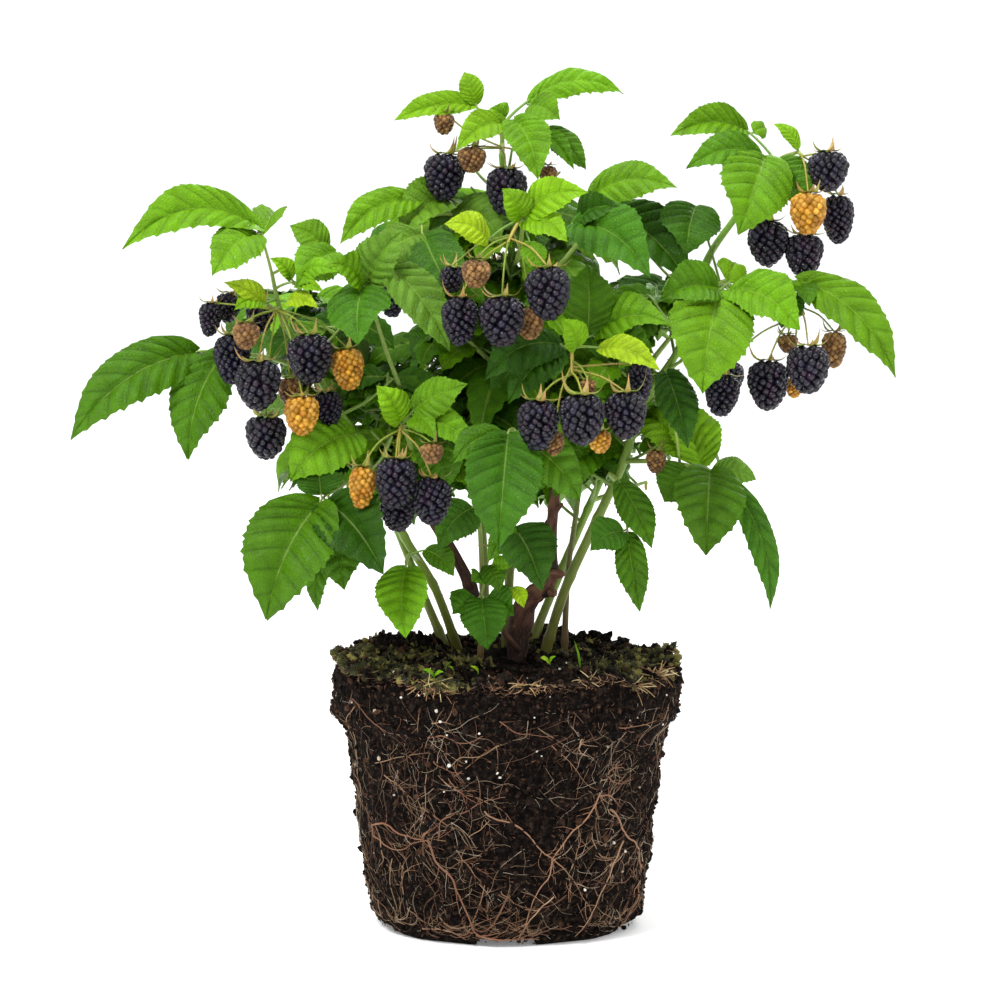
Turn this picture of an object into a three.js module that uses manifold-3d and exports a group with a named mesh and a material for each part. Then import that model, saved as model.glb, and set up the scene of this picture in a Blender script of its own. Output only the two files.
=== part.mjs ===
// A fruiting bush of black raspberries on the bare root ball of a two litre pot.
// Millimetres, +Z up, -Y to the front, the origin under the middle of the root ball's flat foot.
// Canes stand on the ball, and each leafy, fruiting shoot grows out of a cane with a hair's gap between them.
import * as THREE from 'three';
import { mergeVertices } from 'three/addons/utils/BufferGeometryUtils.js';
import Module from 'manifold-3d';

const wasm = await Module();
wasm.setup();

// Root ball: it keeps the shape of the pot that it grew in, 17 cm across its lip
const FOOT_RADIUS = 66;
const FOOT_ROUNDING = 7;
const NECK_RADIUS = 81;
const NECK_HEIGHT = 101;
const LIP_RADIUS = 87;
const LIP_START = 106;
const SOIL_HEIGHT = 131;
const SOIL_FLAT_RADIUS = 62;
const BALL_SIDES = 26;
const BALL_ROUGHNESS = 1.1;
const GROOVE_COUNT = 5;
const GROOVE_WIDTH = 30;
const GROOVE_HEIGHT = 5;
const GROOVE_DEPTH = 20;

// Station that the front elevation is drawn from
const VIEW_DISTANCE = 2600;
const VIEW_TILT = THREE.MathUtils.degToRad(6.5);
const VIEW_ACROSS = -3.5;
const VIEW_HEIGHT = 213;
const VIEW_UP = 220;

// Growth. Edges shorter than a sliver are taken out of the finished shoots.
const CLEARANCE = 0.3;
const CROSSING = 6;
const LEAF_THICKNESS_SHARE = 0.02;
const STEM_RADII = [1.8, 1.2];
const PETIOLE_RADIUS = 1.0;
const PEDICEL_RADIUS = 0.75;
const LEAFLET_STALK = 3;
const LEAFLET_STALK_RADIUS = 0.7;
const LEAFLET_STEP = 2.6;
const SEEN_BLADE = [[0.28, 1], [0.62, 0.8]];
const SMALL_BLADE = [[0.42, 1]];
const SMALL_LEAFLET = 36;
const BLADE_ARCH = 0.13;
const BLADE_CUP = 0.16;
const BERRY_SIDES = 5;
const BERRY_RINGS = [[0.47, 0.24], [0.45, -0.22]];
const RIB_RADIUS = 1;
const RIB_SHARE = 0.7;
const RIB_PLACES = 8;
const CANE_SIDES = 6;
const CANE_STEPS_PER_POINT = 1.5;
const GOLDEN_TURN = 2.39996;
const SLIVER = 0.02;

// Each cane: its course on the front elevation as [across, up, depth], and its radius at foot and tip.
// All stand on the root ball but one, which goes on from the old stump.
const CANES = {
  stump: {
    course: [[5, 140, 5], [7, 158, 5], [10, 170, 4], [19, 178, 2], [22, 184, 0]],
    radii: [9, 4.2],
  },
  old_cane_cut: {
    on: 'stump',
    course: [[20, 180, 1], [22, 188, 0], [22, 196, -1], [23, 211, -2], [25, 228, -3]],
    radii: [2.9, 2.5],
  },
  old_cane_left: {
    course: [[-9, 142, 14], [-14, 165, 14], [-20, 183, 12], [-29, 199, 8], [-40, 217, -1], [-46, 243, -18]],
    radii: [3.3, 2.2],
  },
  cane_left: {
    course: [[-24, 146, 34], [-36, 178, 14], [-51, 203, -4], [-70, 243, -20], [-90, 276, -30],
      [-110, 308, -38]],
    radii: [3.2, 1.9],
  },
  cane_right: {
    course: [[19, 143, 24], [29, 175, 18], [42, 206, 12], [54, 236, 6], [67, 271, 2], [83, 296, 0],
      [92, 319, -1], [101, 342, -2], [116, 364, -4], [131, 385, -6]],
    radii: [4.0, 1.7],
  },
  cane_centre: {
    course: [[0, 145, 42], [3, 210, 38], [6, 270, 26], [4, 330, 12], [0, 372, 4], [-2, 394, 0]],
    radii: [3.6, 1.9],
  },
  young_cane: {
    course: [[29, 141, 34], [31, 185, 30], [35, 214, 24], [38, 236, 16]],
    radii: [1.9, 1.3],
  },
  young_shoot: {
    course: [[-13, 136, -2], [-12, 170, -5], [-13, 205, -12], [-14, 214, -15]],
    radii: [1.7, 1.2],
  },
  back_cane_left: {
    course: [[-30, 147, 58], [-48, 190, 74], [-66, 240, 92], [-76, 286, 104]],
    radii: [3.0, 1.8],
  },
  back_cane_right: {
    course: [[12, 148, 62], [32, 196, 78], [54, 246, 94], [74, 292, 102]],
    radii: [3.2, 1.8],
  },
  back_cane_middle: {
    course: [[-10, 148, 60], [-12, 210, 74], [-20, 280, 82], [-26, 336, 78]],
    radii: [3.0, 1.7],
  },
};

// Each leafy shoot: the cane and the share of it where the shoot grows out, the course of its stem, its
// leaves and its fruit truss. A leaf is the joint where its leaflets meet and one [across, up, depth, width] for each
// leaflet's tip. A fruit is [across, up, depth, width, length] of its middle.
const SHOOTS = {
  left_arm_top: {
    cane: 'cane_left', along: 1, stem: [[-114, 320, -41], [-117, 334, -40]],
    leaves: [
      { joint: [-124, 358, -40], blades: [[-192, 346, -62, 28], [-147, 334, -68, 26], [-114, 364, -8, 20]] },
      { joint: [-84, 345, -46], blades: [[-106, 327, -66, 30], [-108, 357, -42, 20]] },
      { joint: [-121, 319, -50], blades: [[-141, 330, -60, 13], [-137, 314, -64, 13]] },
      { joint: [-108, 322, -48], blades: [[-95, 316, -60, 11], [-84, 334, -36, 16]] },
    ],
    hub: [-115, 316, -46],
    fruit: [
      [-124, 278, -64, 22, 25], [-98, 291, -60, 22, 25], [-120, 252, -54, 20, 22], [-137, 291, -46, 18, 25],
      [-123, 312, -26, 14, 16], [-89, 266, -44, 15, 18],
      [-79, 286, -52, 16, 21], [-102, 263, -61, 17, 20], [-130, 303, -68, 13, 13],
    ],
  },
  left_arm_low: {
    cane: 'cane_left', along: 0.86, stem: [[-118, 292, -22], [-146, 295, -24]],
    leaves: [{ joint: [-153, 295, -24], blades: [[-218, 251, -44, 32], [-161, 241, -46, 33]] }],
  },
  left_shoulder: {
    cane: 'old_cane_left', along: 1, stem: [[-50, 268, -22], [-60, 296, -34], [-68, 322, -50]],
    leaves: [
      {
        joint: [-71, 328, -58],
        blades: [[-74, 299, -84, 31], [-33, 294, -74, 26], [-89, 339, -74, 18], [-51, 356, -70, 22]],
      },
    ],
    hub: [-64, 322, -42],
    fruit: [[-57, 321, -38, 13, 18]],
  },
  left_crown: {
    cane: 'cane_centre', along: 0.84, stem: [[-12, 352, -4], [-28, 364, -14], [-42, 362, -20]],
    leaves: [
      { joint: [-45, 371, -16], blades: [[-83, 349, -34, 20]] },
      { joint: [-26, 371, -4], blades: [[-54, 353, -26, 24], [-2, 349, -22, 24]] },
      { joint: [-42, 354, -36], blades: [[-64, 337, -52, 24], [-26, 322, -70, 30]] },
    ],
  },
  top_spray: {
    cane: 'cane_centre', along: 1, stem: [[-2, 402, -1], [-3, 407, -2]],
    leaves: [
      { joint: [-16, 418, 2], blades: [[-56, 411, -12, 14], [-21, 435, 6, 12]] },
      { joint: [11, 419, 10], blades: [[57, 423, 14, 16], [27, 411, -8, 17]] },
      { joint: [4, 411, -12], blades: [[16, 381, -38, 22], [-25, 396, -30, 17], [-8, 417, -10, 12]] },
      { joint: [19, 406, 2], blades: [[40, 386, -6, 14], [34, 386, -18, 10]] },
    ],
    hub: [-2, 397, -10],
    fruit: [
      [-31, 381, -16, 20, 25], [0, 374, -24, 20, 26], [-17, 391, -24, 14, 13],
    ],
  },
  crown_front: {
    cane: 'cane_centre', along: 0.78, stem: [[6, 342, -20], [8, 356, -58], [7, 361, -74]],
    leaves: [
      { joint: [8, 362, -80], blades: [[-2, 377, -86, 15], [41, 375, -90, 18], [31, 350, -98, 16]] },
      { joint: [-9, 351, -88], blades: [[-31, 359, -94, 15]] },
      { joint: [12, 350, -88], blades: [[16, 334, -98, 12]] },
    ],
    hub: [1, 350, -86],
    fruit: [
      [-2, 310, -102, 22, 25], [-23, 310, -94, 18, 24], [21, 324, -106, 22, 26], [-15, 334, -104, 14, 14],
      [-27, 331, -84, 12, 13], [12, 309, -84, 14, 16],
    ],
  },
  crown_right: {
    cane: 'cane_centre', along: 0.72, stem: [[22, 334, -4], [38, 352, -22], [46, 362, -26]],
    leaves: [
      { joint: [33, 359, -48], blades: [[72, 333, -82, 31], [58, 367, -62, 16]] },
      { joint: [42, 372, -24], blades: [[86, 377, -36, 22]] },
      { joint: [52, 366, -8], blades: [[92, 329, -32, 28]] },
    ],
  },
  right_top: {
    cane: 'cane_right', along: 1, stem: [[138, 392, -8], [146, 395, -11]],
    leaves: [
      { joint: [130, 393, -22], blades: [[116, 354, -50, 36], [90, 387, -38, 20], [150, 367, -30, 26]] },
      { joint: [120, 406, 0], blades: [[82, 403, -14, 17], [130, 407, 8, 10]] },
      { joint: [146, 397, -12], blades: [[134, 409, -8, 8]] },
    ],
    hub: [148, 393, -14],
    fruit: [
      [161, 385, -36, 20, 20], [151, 364, -46, 18, 21], [166, 361, -24, 16, 25], [131, 349, -34, 20, 23],
      [149, 343, -32, 19, 22],
    ],
  },
  right_middle: {
    cane: 'cane_right', along: 0.72, stem: [[108, 330, -24], [124, 332, -36], [142, 328, -38]],
    leaves: [
      { joint: [95, 368, -16], blades: [[90, 344, -34, 30]] },
      {
        joint: [107, 326, -50],
        blades: [[98, 274, -80, 41], [77, 321, -64, 24], [147, 306, -68, 27], [115, 340, -32, 16]],
      },
      { joint: [146, 331, -40], blades: [[195, 282, -58, 24], [152, 318, -58, 14], [138, 307, -50, 18]] },
    ],
    hub: [149, 314, -42],
    fruit: [
      [108, 273, -54, 17, 21], [131, 278, -58, 20, 25], [151, 286, -66, 21, 24],
    ],
  },
  right_low: {
    cane: 'cane_right', along: 0.4, stem: [[80, 240, -12], [98, 237, -26]],
    leaves: [
      { joint: [102, 236, -34], blades: [[100, 193, -62, 35], [132, 165, -42, 24], [125, 231, -24, 14]] },
      { joint: [98, 238, -14], blades: [[86, 268, 6, 26], [66, 263, -12, 28], [79, 220, -18, 22]] },
      { joint: [80, 285, -34], blades: [[91, 247, -54, 20]] },
    ],
  },
  centre_truss: {
    cane: 'cane_centre', along: 0.6, stem: [[14, 282, -12], [26, 296, -54], [33, 297, -86]],
    leaves: [
      { joint: [35, 297, -92], blades: [[27, 312, -102, 14]] },
      { joint: [47, 297, -90], blades: [[77, 286, -104, 14]] },
      { joint: [46, 304, -60], blades: [[82, 309, -78, 24], [74, 294, -72, 20], [41, 339, -60, 26]] },
      { joint: [27, 299, -68], blades: [[-11, 281, -86, 24], [1, 269, -84, 20]] },
    ],
    hub: [33, 284, -94],
    fruit: [
      [16, 258, -112, 20, 25], [38, 261, -118, 22, 25], [60, 263, -110, 20, 23],
    ],
  },
  centre_low: {
    cane: 'cane_centre', along: 0.46, stem: [[6, 250, -6], [4, 256, -52], [2, 256, -88]],
    leaves: [
      { joint: [1, 254, -96], blades: [[-4, 196, -122, 38], [37, 220, -96, 24], [-27, 239, -106, 18]] },
      { joint: [4, 207, -66], blades: [[18, 176, -88, 28], [-9, 190, -82, 16]] },
    ],
  },
  left_centre: {
    cane: 'old_cane_left', along: 0.94, stem: [[-49, 252, -40], [-52, 258, -60]],
    leaves: [
      { joint: [-53, 260, -64], blades: [[-65, 278, -74, 16]] },
      { joint: [-46, 266, -66], blades: [[-19, 279, -82, 19], [-15, 247, -84, 16], [-35, 251, -86, 12]] },
      { joint: [-38, 258, -60], blades: [[-18, 240, -82, 13], [-30, 226, -56, 22]] },
    ],
    hub: [-53, 256, -68],
    fruit: [
      [-55, 229, -88, 20, 25], [-37, 220, -84, 19, 24], [-54, 214, -72, 17, 18], [-72, 227, -80, 13, 21],
    ],
  },
  left_low: {
    cane: 'cane_left', along: 0.52, stem: [[-76, 231, -36], [-89, 224, -52]],
    leaves: [
      { joint: [-75, 254, -40], blades: [[-108, 230, -60, 34]] },
      { joint: [-93, 220, -62], blades: [[-120, 161, -84, 43], [-94, 238, -56, 22], [-61, 184, -88, 32]] },
      { joint: [-86, 205, -50], blades: [[-81, 176, -64, 22], [-94, 165, -54, 12]] },
    ],
  },
  left_foot: {
    cane: 'cane_left', along: 0.3, stem: [[-48, 194, -30], [-50, 190, -48]],
    leaves: [
      { joint: [-50, 187, -58], blades: [[-50, 152, -72, 25]] },
      { joint: [-40, 196, -36], blades: [[-26, 183, -42, 13]] },
    ],
  },
  foot_leaves: {
    cane: 'young_shoot', along: 0.45, stem: [[-13, 172, -16], [-12, 171, -22]],
    leaves: [
      { joint: [-12, 170, -24], blades: [[-11, 146, -42, 22], [-1, 160, -32, 12], [-23, 158, -32, 14]] },
      { joint: [3, 177, -24], blades: [[9, 167, -32, 8]] },
    ],
  },
  shoot_leaf: {
    cane: 'young_shoot', along: 1, stem: [[-15, 217, -19], [-16, 218, -24]],
    leaves: [{ joint: [-17, 217, -28], blades: [[-34, 197, -44, 23]] }],
  },
  right_foot: {
    cane: 'cane_right', along: 0.36, stem: [[52, 234, -8], [57, 230, -26]],
    leaves: [
      { joint: [57, 230, -28], blades: [[73, 197, -44, 17], [41, 246, -50, 20]] },
      { joint: [61, 204, -36], blades: [[67, 165, -50, 16], [42, 196, -50, 19]] },
    ],
  },
  young_tip: {
    cane: 'young_cane', along: 1, stem: [[42, 242, 12], [44, 245, 10]],
    leaves: [{ joint: [46, 247, 8], blades: [[24, 222, -14, 24], [60, 222, 36, 20], [36, 268, -10, 20]] }],
  },
};

// Each shoot that is hidden from the front grows by rule: how many leaves and fruits it has, how large
// they are, and its reach, from left to right and from low to high, which no leaf leaves.
const HIDDEN_SHOOTS = {
  heart_left: {
    cane: 'cane_centre', along: 0.55, stem: [[-14, 296, 0], [-34, 318, -8], [-46, 334, -10]],
    leaves: 4, leaflets: 2, petiole: 22, leaflet: 48, reach: [-110, 20, 215, 370], seed: 11,
  },
  heart_right: {
    cane: 'cane_centre', along: 0.52, stem: [[24, 286, 16], [46, 304, 14], [58, 326, 12]],
    leaves: 4, leaflets: 2, petiole: 22, leaflet: 48, reach: [-20, 110, 225, 370], seed: 23,
  },
  heart_low: {
    cane: 'cane_centre', along: 0.4, stem: [[-14, 252, 10], [-30, 262, -6], [-40, 280, -12]],
    leaves: 3, leaflets: 2, petiole: 20, leaflet: 42, reach: [-100, 40, 195, 330], seed: 31,
  },
  back_left_tip: {
    cane: 'back_cane_left', along: 1, stem: [[-86, 304, 112], [-92, 318, 110]],
    leaves: 3, petiole: 32, leaflet: 60, fruit: 3, reach: [-142, 0, 220, 345], seed: 5,
  },
  back_left_low: {
    cane: 'back_cane_left', along: 0.55, stem: [[-72, 238, 110], [-82, 244, 122]],
    leaves: 3, petiole: 30, leaflet: 58, reach: [-118, 0, 192, 300], seed: 47,
  },
  back_right_tip: {
    cane: 'back_cane_right', along: 1, stem: [[86, 308, 106], [92, 322, 104]],
    leaves: 3, petiole: 32, leaflet: 60, fruit: 3, reach: [0, 120, 220, 350], seed: 8,
  },
  back_right_low: {
    cane: 'back_cane_right', along: 0.5, stem: [[58, 226, 104], [70, 230, 122]],
    leaves: 3, petiole: 30, leaflet: 58, reach: [0, 112, 192, 300], seed: 61,
  },
  back_middle_tip: {
    cane: 'back_cane_middle', along: 1, stem: [[-22, 346, 84], [-12, 356, 94]],
    leaves: 4, petiole: 28, leaflet: 56, fruit: 3, reach: [-78, 80, 225, 364], seed: 17,
  },
  back_middle_low: {
    cane: 'back_cane_middle', along: 0.6, stem: [[-4, 262, 106], [0, 268, 124]],
    leaves: 3, petiole: 30, leaflet: 58, fruit: 2, reach: [-88, 88, 185, 320], seed: 29,
  },
};

// How a hidden shoot grows: its leaves' turn and slant in radians and as slopes, and sizes in mm or as shares
const RULE = {
  tries: 10,
  lowest: 0.3,
  wander: [-0.35, 0.35],
  rise: [0.1, 0.7],
  petiole: [0.75, 1.25],
  droop: [0.25, 0.85],
  length: [0.85, 1.15],
  sideTurn: [1.05, 1.3],
  sideDrop: 0.25,
  sideLength: 0.8,
  width: 0.55,
  hubDrop: 4,
  fruitWidth: [14, 21],
  fruitOut: [14, 26],
  fruitDrop: [22, 46],
  fruitLength: 1.15,
};

const eye = new THREE.Vector3(
  VIEW_ACROSS,
  -VIEW_DISTANCE * Math.cos(VIEW_TILT),
  VIEW_HEIGHT + VIEW_DISTANCE * Math.sin(VIEW_TILT),
);

// The point in space that is seen at [across, up] on the front elevation and lies at that depth
function place([across, up, depth]) {
  const rise = up - VIEW_UP;
  const seen = new THREE.Vector3(
    across,
    rise * Math.sin(VIEW_TILT),
    VIEW_HEIGHT + rise * Math.cos(VIEW_TILT),
  );
  const reach = (depth - eye.y) / (seen.y - eye.y);
  return seen.sub(eye).multiplyScalar(reach).add(eye);
}

// A repeatable stream of numbers from 0 to 1
function stream(seed) {
  let state = (seed * 7919 + 17) >>> 0;
  return () => {
    state = (Math.imul(state, 1664525) + 1013904223) >>> 0;
    return state / 4294967296;
  };
}

// A closed geometry as a solid, turned face out if it came inside out
function solidOf(geometry) {
  const bare = new THREE.BufferGeometry();
  bare.setAttribute('position', geometry.getAttribute('position'));
  if (geometry.index) bare.setIndex(geometry.index);
  const merged = mergeVertices(bare, 1e-3);
  const corners = merged.index.array;
  const triangles = [];
  for (let i = 0; i < corners.length; i += 3) {
    const [a, b, c] = [corners[i], corners[i + 1], corners[i + 2]];
    if (a !== b && b !== c && a !== c) triangles.push(a, b, c);
  }
  const make = (list) => new wasm.Manifold(new wasm.Mesh({
    numProp: 3,
    vertProperties: new Float32Array(merged.attributes.position.array),
    triVerts: new Uint32Array(list),
  }));
  const solid = make(triangles);
  if (solid.volume() > 0) return solid;
  return make(triangles.reverse());
}

// A solid as a geometry to show
function geometryOf(solid) {
  const mesh = solid.getMesh();
  const positions = new Float32Array(mesh.numVert * 3);
  for (let i = 0; i < mesh.numVert; i++) {
    positions.set(mesh.vertProperties.subarray(i * mesh.numProp, i * mesh.numProp + 3), i * 3);
  }
  const geometry = new THREE.BufferGeometry();
  geometry.setAttribute('position', new THREE.BufferAttribute(positions, 3));
  geometry.setIndex(new THREE.BufferAttribute(mesh.triVerts, 1));
  geometry.computeVertexNormals();
  return geometry;
}

// A round limb that tapers along a curve: a straight cylinder bent onto it, its ends pushed out by a margin
function limb(curve, footRadius, tipRadius, sides, steps, margin = 0) {
  const geometry = new THREE.CylinderGeometry(tipRadius, footRadius, 1, sides, steps);
  const frames = curve.computeFrenetFrames(steps, false);
  const positions = geometry.getAttribute('position');
  for (let i = 0; i < positions.count; i++) {
    const share = positions.getY(i) + 0.5;
    const step = Math.round(share * steps);
    const over = step === 0 ? -margin : step === steps ? margin : 0;
    const point = curve.getPointAt(THREE.MathUtils.clamp(share, 0, 1))
      .addScaledVector(frames.tangents[step], over)
      .addScaledVector(frames.normals[step], positions.getX(i))
      .addScaledVector(frames.binormals[step], positions.getZ(i));
    positions.setXYZ(i, point.x, point.y, point.z);
  }
  return solidOf(geometry);
}

// The way a leaf at this point turns its upper face: up and out from the middle of the bush
function facing(point) {
  return new THREE.Vector3(
    point.x / 220,
    THREE.MathUtils.clamp((point.y - 70) / 90, -0.85, 0.8),
    0.62,
  ).normalize();
}

// A closed solid over a row of rings, each with the same number of points, from a flat foot to a pointed end
function loft(rings, end) {
  const sides = rings[0].length;
  const points = [...rings.flat(), end];
  const corners = [];
  for (let j = 1; j < sides - 1; j++) corners.push(0, j, j + 1);
  rings.forEach((ring, i) => {
    for (let j = 0; j < sides; j++) {
      const a = i * sides + j;
      const b = i * sides + ((j + 1) % sides);
      if (i === rings.length - 1) corners.push(a, points.length - 1, b);
      else corners.push(a, a + sides, b, b, a + sides, b + sides);
    }
  });
  const geometry = new THREE.BufferGeometry();
  geometry.setAttribute('position', new THREE.Float32BufferAttribute(points.flatMap((p) => p.toArray()), 3));
  geometry.setIndex(corners);
  return solidOf(geometry);
}

// A leaflet on its stalk, as a thin lens that is arched along its midrib and cupped across it.
// The stalk runs from root to foot. A station is a share of the blade's length and of its half width.
function leaflet(root, foot, tip, width, stations, radius, swell) {
  const run = tip.clone().sub(foot);
  const length = run.length();
  const ahead = run.clone().normalize();
  const normal = facing(tip);
  normal.addScaledVector(ahead, -normal.dot(ahead)).normalize();
  const side = new THREE.Vector3().crossVectors(ahead, normal);
  const ring = (middle, out, cup, thick) => [
    middle.clone().addScaledVector(side, -out).addScaledVector(normal, cup),
    middle.clone().addScaledVector(normal, thick),
    middle.clone().addScaledVector(side, out).addScaledVector(normal, cup),
    middle.clone().addScaledVector(normal, -thick),
  ];
  const half = width / 2 + swell;
  const thick = LEAF_THICKNESS_SHARE * length / 2 + swell;
  const stalkRadius = radius + swell;
  const onStalk = foot.clone().sub(root).normalize();
  const across = new THREE.Vector3().crossVectors(onStalk, normal);
  if (across.lengthSq() < 0.04) across.copy(side);
  across.normalize();
  const above = new THREE.Vector3().crossVectors(across, onStalk);
  const start = [[across, -1], [above, 1], [across, 1], [above, -1]]
    .map(([way, hand]) => root.clone().addScaledVector(way, hand * stalkRadius));
  const rings = [start, ring(foot, stalkRadius * 0.8, 0, stalkRadius * 0.8)];
  for (const [share, out] of stations) {
    const lift = BLADE_ARCH * length * 4 * share * (1 - share);
    const middle = foot.clone().addScaledVector(run, share).addScaledVector(normal, lift);
    rings.push(ring(middle, out * half, BLADE_CUP * half, thick));
  }
  return loft(rings, tip.clone().addScaledVector(ahead, swell));
}

// A fruit on its stalk: blunt at its shoulders and narrower at its nose, hanging from its top
function fruitOn(from, middle, width, length, swell) {
  const down = new THREE.Vector3(0, 0, -1);
  const top = middle.clone().addScaledVector(down, -length / 2 - swell);
  const lean = new THREE.Quaternion().setFromUnitVectors(down, top.clone().sub(from).normalize());
  const ring = (centre, radius, turn) => Array.from({ length: BERRY_SIDES }, (_, j) => {
    const angle = (j * 2 * Math.PI) / BERRY_SIDES;
    const out = new THREE.Vector3(radius * Math.cos(angle), radius * Math.sin(angle), 0);
    return centre.clone().add(out.applyQuaternion(turn));
  });
  const upright = new THREE.Quaternion();
  const stalkRadius = PEDICEL_RADIUS + swell;
  const rings = [
    ring(from, stalkRadius, lean),
    ring(top, stalkRadius, upright.clone().slerp(lean, 0.5)),
    ...BERRY_RINGS.map(([out, up]) => ring(
      middle.clone().addScaledVector(down, -up * length),
      out * width + swell,
      upright,
    )),
  ];
  return loft(rings, middle.clone().addScaledVector(down, length / 2 + swell));
}

// The root ball: a lathed block with a lip, roughened, with the drain grooves of the pot under its edge
function rootBall() {
  const profile = [
    [0, 0], [FOOT_RADIUS - FOOT_ROUNDING, 0], [FOOT_RADIUS - 2, FOOT_ROUNDING * 0.45],
    [FOOT_RADIUS, FOOT_ROUNDING],
    [FOOT_RADIUS + 4.5, 34], [FOOT_RADIUS + 9, 66], [NECK_RADIUS, NECK_HEIGHT], [LIP_RADIUS, LIP_START],
    [LIP_RADIUS + 0.5, SOIL_HEIGHT - 6], [LIP_RADIUS - 1, SOIL_HEIGHT], [LIP_RADIUS - 10, SOIL_HEIGHT + 1],
    [SOIL_FLAT_RADIUS, SOIL_HEIGHT], [0, SOIL_HEIGHT],
  ].map(([out, up]) => new THREE.Vector2(out, up));
  const geometry = new THREE.LatheGeometry(profile, BALL_SIDES);
  geometry.rotateX(Math.PI / 2);
  const positions = geometry.getAttribute('position');
  for (let i = 0; i < positions.count; i++) {
    const [x, y, z] = [positions.getX(i), positions.getY(i), positions.getZ(i)];
    const out = Math.hypot(x, y);
    if (out < SOIL_FLAT_RADIUS + 1 && (z < 1 || z > SOIL_HEIGHT - 2)) continue;
    const angle = Math.atan2(y, x);
    const bump = BALL_ROUGHNESS * (Math.sin(7 * angle + z * 0.21) + Math.sin(13 * angle - z * 0.37));
    const lift = z > SOIL_HEIGHT - 3 ? 1.6 * Math.sin(5 * angle + 1) + 1.1 * Math.sin(11 * angle) : 0;
    positions.setXYZ(i, x * (1 + bump / out), y * (1 + bump / out), z + lift);
  }
  let ball = solidOf(geometry);
  for (let i = 0; i < GROOVE_COUNT; i++) {
    const groove = new THREE.BoxGeometry(GROOVE_WIDTH, GROOVE_DEPTH * 2, GROOVE_HEIGHT * 2);
    groove.translate(0, -FOOT_RADIUS, 0);
    groove.rotateZ((i * 2 * Math.PI) / GROOVE_COUNT);
    ball = ball.subtract(solidOf(groove));
  }
  return ball;
}

const solids = new Map([['root_ball', rootBall()]]);
const canes = new Map();
const raisedBall = solids.get('root_ball').translate([0, 0, CLEARANCE]);
for (const [name, { course, radii, on }] of Object.entries(CANES)) {
  const curve = new THREE.CatmullRomCurve3(course.map(place));
  const steps = Math.round(course.length * CANE_STEPS_PER_POINT);
  const [foot, tip] = radii;
  const clear = limb(curve, foot + CLEARANCE, tip + CLEARANCE, CANE_SIDES, steps, CLEARANCE);
  const rest = on ? canes.get(on).clear : raisedBall;
  canes.set(name, { curve, clear });
  solids.set(name, limb(curve, foot, tip, CANE_SIDES, steps).subtract(rest));
}

// The stem of a shoot, from inside its cane, cut clear of the cane's bark
function stemOf(plan) {
  const cane = canes.get(plan.cane);
  const start = cane.curve.getPointAt(plan.along);
  const curve = new THREE.CatmullRomCurve3([start, ...plan.stem.map(place)]);
  const steps = plan.stem.length + 1;
  const [foot, tip] = STEM_RADII;
  return { line: { curve, steps }, solid: limb(curve, foot, tip, 3, steps).subtract(cane.clear) };
}

// The point on a stem's line of steps, past its foot, that lies nearest to a leaf's joint or a truss
function nearest({ curve, steps }, point) {
  let best = curve.getPointAt(1);
  for (let place = 0.3 * steps; place < steps; place += 0.1) {
    const step = Math.floor(place);
    const here = curve.getPointAt(step / steps).lerp(curve.getPointAt((step + 1) / steps), place - step);
    if (here.distanceTo(point) < best.distanceTo(point)) best = here;
  }
  return best;
}

// A compound leaf: the end leaflet on the petiole, and side leaflets whose stalks root further down it
function leafParts(line, joint, blades, hidden) {
  const root = nearest(line, joint);
  const back = root.clone().sub(joint).normalize();
  const parts = (swell) => blades.map(({ tip, width }, i) => {
    const small = hidden || tip.distanceTo(joint) < SMALL_LEAFLET;
    const stations = small ? SMALL_BLADE : SEEN_BLADE;
    if (i === 0) return leaflet(root, joint, tip, width, stations, PETIOLE_RADIUS, swell);
    const from = joint.clone().addScaledVector(back, i * LEAFLET_STEP);
    const foot = from.clone().add(tip.clone().sub(from).setLength(LEAFLET_STALK));
    return leaflet(from, foot, tip, width, stations, LEAFLET_STALK_RADIUS, swell);
  });
  return { parts: parts(0), tests: parts(CLEARANCE) };
}

// A truss of fruit: the rib from the stem to its hub, and each berry on its stalk along the rib's end
function trussParts(line, hub, fruit) {
  const root = nearest(line, hub);
  const course = new THREE.LineCurve3(root, hub);
  const rib = (swell) => [limb(course, RIB_RADIUS + swell, RIB_RADIUS + swell, 3, 1)];
  const berries = fruit.map(({ middle, width, length }, i) => {
    const from = root.clone().lerp(hub, 1 - RIB_SHARE * (i % RIB_PLACES) / RIB_PLACES);
    return {
      parts: [fruitOn(from, middle, width, length, 0)],
      tests: [fruitOn(from, middle, width, length, CLEARANCE)],
    };
  });
  return [{ parts: rib(0), tests: rib(CLEARANCE) }, ...berries];
}

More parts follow.
